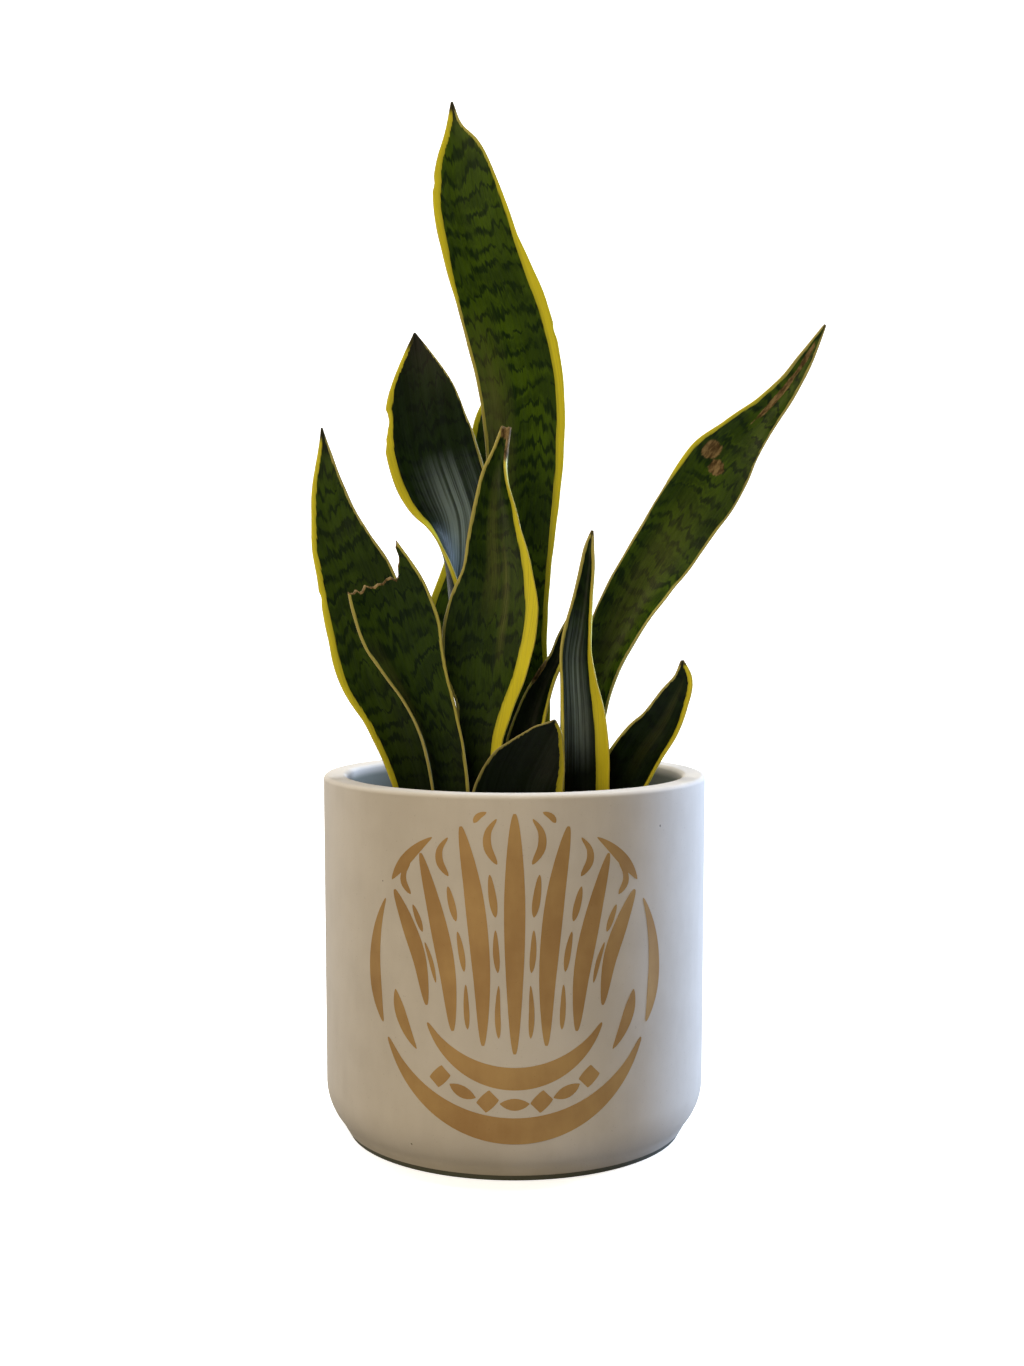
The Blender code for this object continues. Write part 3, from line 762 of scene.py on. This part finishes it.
# Painted reflection: pale blue streaks where light reflects off the waxy face.
reflection_streaks = noise(skin, given["Blade"], (0.75, 0.008, 1.0), 3.0, 0.6, (1, 4, 0))
painted_reflection = times(skin, marks.outputs["Z"], fade(skin, reflection_streaks, 0.36, 0.66, (0.15, 1.0)))
colour = mix(skin, painted_reflection, colour, REFLECTION_BLUE)
crust = noise(skin, given["Blade"], (0.5, 0.16, 1.0), 4.0, 0.7, (9, 9, 0))
dry = fade(skin, plus(skin, given["Dry"], times(skin, minus(skin, crust, 0.5), 0.7)), 0.42, 0.62)
tan = mix(skin, fade(skin, crust, 0.35, 0.65), (0.06, 0.036, 0.012), (0.27, 0.19, 0.085))
colour = mix(skin, dry, colour, tan)
spread = plus(skin, 0.27, times(skin, fine, 0.16))
rough = plus(skin, spread, times(skin, dry, 0.4))
ridge = plus(skin, times(skin, fine, 0.5), times(skin, dark, -0.10))
height = plus(skin, ridge, times(skin, times(skin, dry, crust), 0.8))
join(skin, [(colour, out["Color"]), (rough, out["Roughness"]), (height, out["Height"])])
print("leaf skin:", len(skin.nodes), "nodes")

# %% Leaf materials
def leaf_material(name, light, dark, stripe, banding):
    made, tree, shader = principled(name, light, 0.35)
    blade, marks, wear_and_light = (add(tree, "ShaderNodeAttribute", {"attribute_name": label}).outputs["Vector"]
                          for label in ("blade", "marks", "wear_and_light"))
    wear_and_light = add(tree, "ShaderNodeSeparateXYZ", Vector=wear_and_light).outputs
    face = add(tree, "ShaderNodeGroup", {"node_tree": skin}, Blade=blade, Marks=marks,
               Dry=wear_and_light["X"], Shade=wear_and_light["Y"], Pale=wear_and_light["Z"],
               Light_Green=(*light, 1.0), Dark_Green=(*dark, 1.0), Stripe=(*stripe, 1.0), Banding=banding)
    raised = add(tree, "ShaderNodeBump", Height=face.outputs["Height"], Strength=0.35, Distance=0.0006)
    join(tree, [(face.outputs["Color"], shader.inputs["Base Color"]),
                (face.outputs["Roughness"], shader.inputs["Roughness"]),
                (raised.outputs[0], shader.inputs["Normal"])])
    shader.inputs["Specular IOR Level"].default_value = 0.10
    return made


mid_leaf = leaf_material("leaf_mid_green", (0.062, 0.120, 0.003), (0.0045, 0.018, 0.002),
                         (0.74, 0.67, 0.030), 0.95)
deep_leaf = leaf_material("leaf_deep_green", (0.034, 0.068, 0.002), (0.003, 0.012, 0.0015),
                          (0.74, 0.67, 0.035), 0.95)
night_leaf = leaf_material("leaf_dark_green", (0.008, 0.021, 0.002), (0.001, 0.005, 0.0012),
                           (0.72, 0.64, 0.030), 0.9)
print("leaf materials made")

# %% [markdown]
# ## Leaf shapes
# Each leaf is a strip curled round its midrib. A few stations say where the midrib runs, how
# wide the blade is, which way it faces and how far each half curls forward. A smooth curve
# through the stations gives rings every millimetre and a half. Across the blade the points crowd
# towards the margins, where the leaf thins to a round edge, so that edge catches the light.

# %% Leaf stations
# The midrib's x, y and z, the blade's width, the turn of its face from the front towards +X, and
# the forward curl of its left and right halves. Millimetres and degrees, from base to tip.
LEAVES = {
    "leaf_tall": (
        (4, 14, 104, 17, 0, 45, 45),
        (4, 15, 140, 20, 0, 45, 45),
        (4, 16, 173, 24, 5, 40, 35),
        (1, 18, 205, 27, 8, 35, 30),
        (1, 19, 239, 31, 10, 35, 20),
        (3.5, 18, 284, 36, 12, 35, 15),
        (1.5, 16, 314, 40, 12, 35, 15),
        (-5, 14, 343, 40, 10, 30, 12),
        (-15, 12, 372, 34, 5, 25, 12),
        (-20, 10, 392, 30, 0, 20, 15),
        (-23, 7, 411, 18, 0, 25, 25),
        (-25, 6, 419, 8, 0, 30, 30),
        (-26, 5, 429, 1.2, 0, 30, 30),
    ),
    "leaf_left_centre": (
        (-20, 3, 104, 15, 60, 60, 60),
        (-20, 4, 144, 17, 65, 70, 60),
        (-22, 5, 180, 20, 75, 80, 60),
        (-24, 5, 206, 24, 75, 90, 50),
        (-26, 4, 227, 27, 65, 90, 40),
        (-25, 2, 243, 31, 40, 75, 30),
        (-26, 0, 257, 34, 22, 50, 20),
        (-29.5, -2, 268, 38, 10, 30, 15),
        (-33.5, -4, 280, 39, 5, 25, 12),
        (-36, -6, 291, 37, 3, 20, 12),
        (-38.5, -8, 312, 25, 0, 20, 15),
        (-40, -8, 324, 11, 0, 20, 20),
        (-41, -8, 332, 1.2, 0, 20, 20),
    ),
    "leaf_left": (
        (-38, -8, 104, 17, 0, 50, 50),
        (-41, -8, 144, 20, 0, 50, 45),
        (-50, -10, 176, 28, 0, 40, 35),
        (-56, -11, 193, 35, 0, 30, 25),
        (-60, -12, 212, 36, 0, 20, 20),
        (-65.5, -13, 232, 32, 0, 18, 18),
        (-70.5, -15, 245, 26, 0, 18, 18),
        (-74, -16, 258, 19, 0, 20, 20),
        (-76, -18, 270, 12.8, 0, 20, 20),
        (-77, -19, 282, 6, 0, 20, 20),
        (-78, -20, 292, 1.2, 0, 20, 20),
    ),
    "leaf_left_torn": (
        (-27, -24, 104, 16, 10, 60, 50),
        (-28, -24, 147, 20, 15, 85, 50),
        (-34, -26, 173, 24, 20, 90, 40),
        (-39, -28, 187, 27, 18, 80, 35),
        (-43, -30, 198, 31, 15, 65, 30),
        (-46, -32, 208, 35, 12, 50, 25),
        (-49.5, -34, 220, 34, 8, 40, 20),
        (-53, -36, 231, 30, 5, 35, 20),
        (-57, -38, 243, 22, 5, 30, 20),
    ),
    "leaf_centre": (
        (-15, -12, 104, 16, 0, 45, 45),
        (-15, -12, 144, 20, 0, 50, 50),
        (-14, -13, 167, 22, 0, 45, 50),
        (-12, -14, 179, 26, 0, 35, 50),
        (-11, -15, 192, 36, -3, 25, 50),
        (-10, -16, 207, 40, -3, 20, 35),
        (-8, -17, 221, 38, 0, 20, 35),
        (-7, -17, 234, 31, 5, 25, 45),
        (-8, -16, 249, 25, 10, 30, 60),
        (-8, -15, 261, 20, 10, 40, 80),
        (-7, -14, 273, 15, 0, 50, 120),
        (-5, -12, 283, 10, 0, 60, 160),
        (-3, -10, 293, 6, 0, 70, 160),
    ),
    "leaf_back": (
        (-34, 22, 104, 14, 0, 45, 45),
        (-38, 22, 142, 15, 0, 45, 45),
        (-34, 26, 185, 18, 0, 35, 35),
        (-31, 28, 204, 20, 0, 30, 30),
        (-27, 30, 219, 21, 0, 25, 25),
        (-21, 32, 236, 21, 0, 20, 20),
        (-15, 34, 259, 20, 0, 20, 20),
        (-12, 36, 287, 17, 0, 20, 20),
        (-12, 37, 303, 10, 0, 20, 20),
        (-12, 38, 313, 1.2, 0, 20, 20),
    ),
    "leaf_right": (
        (28, 8, 104, 15, 0, 50, 60),
        (29, 8, 143, 17, 0, 50, 70),
        (31, 9, 165, 18, 5, 45, 90),
        (34, 11, 181, 21, 5, 40, 110),
        (39, 13, 197, 25, 5, 35, 115),
        (45, 14, 210, 28, 5, 30, 110),
        (51, 16, 222, 29, 5, 25, 90),
        (57, 17, 233, 28, 3, 20, 50),
        (65, 18, 245, 29, 0, 18, 25),
        (72, 19, 256, 30, 0, 18, 20),
        (80, 20, 268, 31.5, 0, 20, 15),
        (88, 20, 281, 30, 0, 30, 15),
        (97, 19, 292, 23, 0, 50, 25),
        (108, 18, 303, 16, 0, 50, 60),
        (117, 17, 314, 11, 0, 50, 50),
        (124, 16, 325, 8, 0, 60, 60),
        (132, 15, 339, 1.2, 0, 60, 60),
    ),
    "leaf_narrow": (
        (29, -13, 104, 19, 0, 70, 60),
        (26.5, -13, 145, 30, 0, 120, 60),
        (26.5, -13, 156, 30, 0, 120, 60),
        (26, -12, 179, 25, 0, 110, 60),
        (25.4, -12, 189, 22, 0, 105, 75),
        (25.3, -12, 200, 19, 0, 85, 90),
        (26.9, -12, 210, 16, 0, 60, 110),
        (28.8, -12, 224, 11, 0, 50, 110),
        (30.4, -12, 237, 8, 0, 50, 110),
        (30.8, -12, 244, 5, 0, 50, 90),
        (32, -12, 251, 1.2, 0, 50, 50),
    ),
    "leaf_small_right": (
        (44, -6, 104, 16, 0, 45, 60),
        (46, -6, 144, 25, 0, 40, 105),
        (50, -9, 154, 27, 0, 35, 105),
        (54.5, -12, 162, 25, 0, 30, 100),
        (60.5, -15, 171, 21, 0, 30, 90),
        (65, -19, 181, 16, 0, 30, 80),
        (68.5, -22, 191, 9, 0, 35, 60),
        (68, -24, 198, 1.5, 0, 35, 50),
    ),
    "leaf_dark_back": (
        (3, 0, 104, 16, 0, 50, 60),
        (3, 0, 142, 20, 0, 50, 80),
        (5, 0, 162, 19, 0, 45, 90),
        (9, 1, 177, 15.5, 0, 40, 100),
        (14, 2, 190, 11, 0, 40, 100),
        (18, 2, 198, 8, 0, 40, 90),
        (20, 3, 206, 5.5, 0, 40, 60),
        (24, 3, 217, 1.2, 0, 40, 40),
    ),
    "leaf_front_short": (
        (-4, -30, 104, 22, 0, 40, 40),
        (-1, -32, 125, 34, 5, 35, 45),
        (2, -34, 142, 40, 0, 25, 50),
        (5, -35, 152, 36, 0, 20, 50),
        (9, -36, 160, 28, 0, 20, 45),
        (12.5, -37, 167, 18, 0, 20, 40),
        (15, -38, 172, 9, 0, 20, 40),
        (16, -39, 175, 1.2, 0, 20, 40),
    ),
}

print(len(LEAVES), "leaves,", sum(len(rows) for rows in LEAVES.values()), "stations")

# %% [markdown]
# The look of each leaf is given beside its shape: how wide the yellow stripe is on each margin
# at a few heights, where a painted reflection lies, where the leaf is dry, where a painted
# highlight lightens it, and how deep its neighbours shade it. A nick is a bite out of a margin.

# %% Leaf looks
# stripes: (height, left width, right width). The painted reflection: (low, high, strength, side).
# dry: (height, side, half length, half width). The painted highlight: (height, side, half length,
# half width as a share, amount).
# nicks: (side, height, half length, depth). black_tip is its length and dim is shade from 0 to 1.
# All lengths in mm; a side is -1 at the left margin and 1 at the right.
LOOKS = {
    "leaf_tall": {
        "finish": mid_leaf, "black_tip": 9.0, "dim": 0.12,
        "highlight": ((285, -0.72, 66.0, 0.46, 0.62), (290, -0.30, 60.0, 0.07, 0.85)),
        "stripes": ((104, 1.0, 2.0), (200, 1.0, 2.0), (240, 1.2, 2.5), (285, 1.2, 3.4), (350, 1.2, 5.0),
                    (373, 3.0, 2.2), (395, 3.6, 1.5), (429, 2.0, 1.0)),
        "nicks": ((-1, 398, 2.5, 0.7), (1, 332, 3.0, 0.6)),
    },
    "leaf_left_centre": {
        "finish": night_leaf, "black_tip": 14.0, "painted_reflection": ((206, 284, 0.95, 0.2),),
        "stripes": ((104, 2.0, 1.2), (230, 2.2, 1.3), (262, 3.6, 1.1), (290, 3.8, 0.9), (310, 1.9, 0.7),
                    (332, 1.6, 0.5)),
        "nicks": ((-1, 297, 5.0, 2.2), (-1, 291, 3.0, 1.0)),
    },
    "leaf_left": {
        "finish": deep_leaf, "black_tip": 10.0,
        "stripes": ((104, 2.0, 1.2), (160, 2.6, 1.2), (200, 3.0, 1.2), (240, 2.2, 1.0), (292, 1.6, 0.9)),
        "nicks": ((-1, 228, 3.0, 0.6),),
    },
    "leaf_left_torn": {
        "finish": deep_leaf, "dim": 0.12, "stripes": ((104, 1.0, 1.1), (258, 1.1, 1.2)),
        "highlight": ((175, -0.75, 40.0, 0.30, 0.35),),
    },
    "leaf_centre": {
        "finish": deep_leaf, "dim": 0.10,
        "stripes": ((104, 1.0, 3.0), (165, 1.1, 5.0), (190, 1.1, 6.5), (225, 1.1, 5.5), (245, 1.1, 3.0),
                    (262, 1.1, 1.6), (293, 1.1, 1.3)),
        "dry": ((287, 0.9, 10.0, 2.2), (292, 0.0, 5.0, 4.0)),
        "highlight": ((245, -0.1, 34.0, 0.26, 0.35), (222, 0.25, 30.0, 0.07, 0.5)),
    },
    "leaf_back": {
        "finish": mid_leaf, "black_tip": 4.0, "dim": 0.2, "stripes": ((104, 3.0, 2.0), (313, 2.4, 1.6)),
    },
    "leaf_right": {
        "finish": mid_leaf, "black_tip": 3.0, "dim": 0.2,
        "highlight": ((225, 0.0, 50.0, 0.7, 0.30), (228, 0.2, 50.0, 0.05, 0.6)),
        "stripes": ((104, 0.6, 0.9), (260, 0.7, 1.1), (272, 1.8, 0.8), (300, 1.6, 0.8), (339, 0.6, 0.6)),
        "dry": ((283, -0.45, 4.0, 5.0), (279, 0.0, 3.5, 4.5), (309, -0.1, 14.0, 1.6), (325, 0.0, 8.0, 1.5)),
    },
    "leaf_narrow": {
        "finish": night_leaf, "black_tip": 4.0, "painted_reflection": ((150, 222, 0.55, -0.3),),
        "stripes": ((104, 2.6, 7.0), (160, 2.4, 7.0), (183, 1.6, 5.0), (205, 1.2, 1.8), (251, 1.0, 0.9)),
    },
    "leaf_small_right": {
        "finish": night_leaf, "black_tip": 4.0, "stripes": ((104, 1.0, 3.0), (198, 0.8, 2.0)),
        "highlight": ((170, 0.0, 24.0, 0.25, 0.25),),
    },
    "leaf_dark_back": {
        "finish": night_leaf, "black_tip": 3.0, "dim": 0.45, "stripes": ((104, 0.8, 2.2), (217, 0.8, 1.2)),
        "dry": ((190, -0.9, 6.0, 1.5),),
    },
    "leaf_front_short": {
        "finish": night_leaf, "black_tip": 2.0, "dim": 0.8,
        "stripes": ((104, 1.0, 5.0), (140, 1.0, 4.5), (160, 0.9, 3.0), (175, 0.8, 1.5)),
    },
}
print("looks for", len(LOOKS), "leaves")

# %% Leaf law
MIDRIB_THICKNESS, MARGIN_THICKNESS, FULL_THICKNESS_WIDTH = 2.6, 1.0, 15.0
TORN_DROP, TORN_SHOULDER, TORN_JAG = 13.0, 0.65, 2.6
RING_SPACING, SECTION_POINTS = 1.5, 27
EDGE_ROUND = 0.55
THINNER = 0.94


def along(stations, distances):
    """The station values, and their rates of change, at distances from the base along the midrib."""
    rows = np.array(stations, float)
    reach = np.linalg.norm(np.diff(rows[:, :3], axis=0), axis=1)
    places = np.concatenate([[0.0], np.cumsum(reach)])
    rates = np.diff(rows, axis=0) / reach[:, None]
    inner = (rates[:-1] * reach[1:, None] + rates[1:] * reach[:-1, None]) / (reach[1:] + reach[:-1])[:, None]
    slopes = np.concatenate([rates[:1], inner, rates[-1:]])
    first = np.clip(np.searchsorted(places, distances, side="right") - 1, 0, len(reach) - 1)
    step = reach[first][:, None]
    u = (distances[:, None] - places[first][:, None]) / step
    start, end = rows[first], rows[first + 1]
    leave, arrive = slopes[first] * step, slopes[first + 1] * step
    values = ((2 * u**3 - 3 * u**2 + 1) * start + (u**3 - 2 * u**2 + u) * leave
              + (3 * u**2 - 2 * u**3) * end + (u**3 - u**2) * arrive)
    change = ((6 * u**2 - 6 * u) * (start - end) + (3 * u**2 - 4 * u + 1) * leave
              + (3 * u**2 - 2 * u) * arrive) / step
    return values, change


def leaf_length(stations):
    rows = np.array(stations, float)[:, :3]
    return float(np.linalg.norm(np.diff(rows, axis=0), axis=1).sum())


def leaf_end(name, length, side):
    """How far up the blade reaches at a place across it. A torn leaf ends in a ragged slope."""
    if not name.endswith("torn"):
        return length
    fall = min(1.0, (1.0 - side) / TORN_SHOULDER)
    jag = 0.5 + 0.25 * math.sin(19 * side + 1) + 0.25 * math.sin(43 * side)
    return length - TORN_DROP * fall * fall * (3 - 2 * fall) - TORN_JAG * jag * min(1.0, 8 * (1 - abs(side)))


def margin_loss(name, seed, side, values, distances):
    """How far a margin stands in from the measured one: a slow wave, and any nicks."""
    wave = 0.16 + 0.09 * np.sin(distances / 6.5 + seed) + 0.07 * np.sin(distances / 2.7 + 2 * seed)
    for nick_side, height, half_length, depth in LOOKS[name].get("nicks", ()):
        if nick_side * side > 0:
            bite = np.clip(1 - np.abs(values[:, 2] - height) / half_length, 0, 1)
            wave = wave + depth * bite ** 0.6
    return np.minimum(wave, values[:, 3] * 0.2)


def strip(name, seed, stations, side):
    """Front and back points at one place across the blade, and the facts the leaf skin needs."""
    length = leaf_length(stations)
    rings = round(length / RING_SPACING) + 1
    distances = np.linspace(0.0, leaf_end(name, length, side), rings)
    values, change = along(stations, distances)
    tangent = change[:, :3] / np.linalg.norm(change[:, :3], axis=1)[:, None]
    across = np.cross(tangent, (0.0, -1.0, 0.0))
    across /= np.linalg.norm(across, axis=1)[:, None]
    facing = np.cross(across, tangent)
    turn = np.radians(values[:, 4])[:, None]
    across, facing = (across * np.cos(turn) - facing * np.sin(turn),
                      facing * np.cos(turn) + across * np.sin(turn))
    width = np.maximum(values[:, 3], 1.0)
    loss = margin_loss(name, seed, side, values, distances)
    share = abs(side) * (1 - loss / (width / 2) * abs(side) ** 4)
    curl = np.radians(np.maximum(values[:, 5] if side < 0 else values[:, 6], 1.0))
    radius = (width / 2 / curl)[:, None]
    angle = (share * curl)[:, None]
    across = across * math.copysign(1.0, side)
    outward = facing * np.cos(angle) - across * np.sin(angle)
    middle = values[:, :3] + radius * (across * np.sin(angle) + (1 - np.cos(angle)) * facing)
    swell = (MIDRIB_THICKNESS - MARGIN_THICKNESS) * np.minimum(1.0, width / FULL_THICKNESS_WIDTH)
    to_margin = np.clip(width / 2 * (1 - abs(side)), 0.0, None)
    edge = np.sqrt(np.clip(1 - (1 - np.minimum(1.0, to_margin / EDGE_ROUND)) ** 2, 0.0, 1.0))
    half = ((MARGIN_THICKNESS + swell * (1 - side**2)) / 2 * THINNER * edge)[:, None]
    facts = {"distance": distances, "left_over": length - distances, "values": values,
             "across": share * width / 2 * math.copysign(1.0, side), "to_margin": to_margin + 0.02,
             "torn_over": leaf_end(name, length, side) - distances}
    return middle + outward * half, middle - outward * half, facts


print(f"rings every {RING_SPACING} mm, {SECTION_POINTS} points across")

# %% Leaf marks
def leaf_marks(name, side, facts):
    """Two vectors a point: stripe, margin and painted reflection; and dry, painted shade and painted highlight.
    """
    look = LOOKS[name]
    height = facts["values"][:, 2]
    table = np.array(look["stripes"], float)
    stripe = np.interp(height, table[:, 0], table[:, 1 if side < 0 else 2])
    stripe = np.minimum(stripe, facts["values"][:, 3] * 0.42)
    # Painted reflection: where light reflects off the wax, strongest at one place across the blade.
    painted_reflection = np.full(len(height), 0.01)
    for low, high, strength, middle in look.get("painted_reflection", ()):
        rise = np.clip((height - low) / 14, 0, 1) * np.clip((high - height) / 34, 0, 1)
        painted_reflection = np.maximum(painted_reflection, strength * rise * math.exp(-((side - middle) / 0.55) ** 2))
    dry = np.zeros(len(height))
    if name.endswith("torn"):
        dry = np.clip(1.3 - facts["torn_over"] / 1.1, 0, 1)
    for centre, place, half_length, half_width in look.get("dry", ()):
        away = np.hypot((height - centre) / half_length,
                        (facts["across"] - place * facts["values"][:, 3] / 2) / half_width)
        dry = np.maximum(dry, np.clip(1.35 - away, 0, 1))
    # Painted highlight, where a face catches the light.
    highlight = np.zeros(len(height))
    for centre, place, half_length, half_share, amount in look.get("highlight", ()):
        reach = np.clip(1.6 - 1.6 * np.abs(height - centre) / half_length, 0, 1)
        highlight = np.maximum(highlight, amount * reach * np.clip(1.5 - 1.5 * abs(side - place) / half_share, 0, 1))
    shade = np.maximum(np.clip((196 - height) / 52, 0, 1) * 0.72, look.get("dim", 0.0))
    if "black_tip" in look:
        shade = np.maximum(shade, 0.95 * np.clip(1.3 - facts["left_over"] / look["black_tip"], 0, 1))
    return np.stack([facts["to_margin"] - stripe, facts["to_margin"], painted_reflection], -1), \
        np.stack([dry, shade, highlight], -1)


# %% Leaf building
def leaf_piece(name, seed, stations):
    """One closed leaf: front points, then back points, with the margins shared between them."""
    sides = np.sin(np.linspace(-math.pi / 2, math.pi / 2, SECTION_POINTS))
    front, back, blade, marks, wear_and_light = [], [], [], [], []
    for side in sides:
        fore, aft, facts = strip(name, seed, stations, float(side))
        mark, worn_and_lit = leaf_marks(name, side, facts)
        front.append(fore)
        back.append(aft)
        blade.append(np.stack([facts["across"], facts["distance"], np.full(len(fore), 37.0 * seed)], -1))
        marks.append(mark)
        wear_and_light.append(worn_and_lit)
    inner = slice(1, -1)
    points = np.concatenate([np.stack(front, 1), np.stack(back, 1)[:, inner]], 1)
    rings, loop = points.shape[:2]
    fronts = np.arange(SECTION_POINTS)
    backs = np.concatenate([[0], np.arange(SECTION_POINTS, loop), [SECTION_POINTS - 1]])
    faces = []
    for j in range(SECTION_POINTS - 1):
        for i in range(rings - 1):
            low, high = i * loop, (i + 1) * loop
            faces.append((low + fronts[j], low + fronts[j + 1], high + fronts[j + 1], high + fronts[j]))
            faces.append((low + backs[j + 1], low + backs[j], high + backs[j], high + backs[j + 1]))
        for ring in (0, (rings - 1) * loop):
            cap = (fronts[j], fronts[j + 1], backs[j + 1], backs[j])
            faces.append(tuple(ring + corner for corner in dict.fromkeys(cap)))
    mesh = bpy.data.meshes.new(name + "_blade")
    mesh.from_pydata((points.reshape(-1, 3) * MM).tolist(), [], [tuple(map(int, face)) for face in faces])
    for label, rows in (("blade", blade), ("marks", marks), ("wear_and_light", wear_and_light)):
        rows = np.stack(rows, 1)
        rows = np.concatenate([rows, rows[:, inner]], 1)
        held = mesh.attributes.new(label, "FLOAT_VECTOR", "POINT")
        held.data.foreach_set("vector", rows.reshape(-1).astype(np.float32))
    bm = bmesh.new()
    bm.from_mesh(mesh)
    bmesh.ops.recalc_face_normals(bm, faces=bm.faces)
    bm.to_mesh(mesh)
    bm.free()
    mesh.shade_smooth()
    made = link(name + "_blade", mesh, LOOKS[name]["finish"])
    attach(made, "root")
    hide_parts(name)
    return made


# %% Leaves
blade_faces = 0
for seed, (name, stations) in enumerate(LEAVES.items(), 1):
    blade_faces += len(leaf_piece(name, seed, stations).data.polygons)
print("leaf faces:", blade_faces)

# %% [markdown]
# ## Sizes
# The finished object should be as large as the measured one. Both boxes are printed.

# %% Sizes
finished_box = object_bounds()
boxes = {"cad": [list(corner) for corner in cad_box], "finished": [list(corner) for corner in finished_box]}
for label, (low, high) in boxes.items():
    print(label, "box in mm:", [round(v / MM, 1) for v in low], [round(v / MM, 1) for v in high])
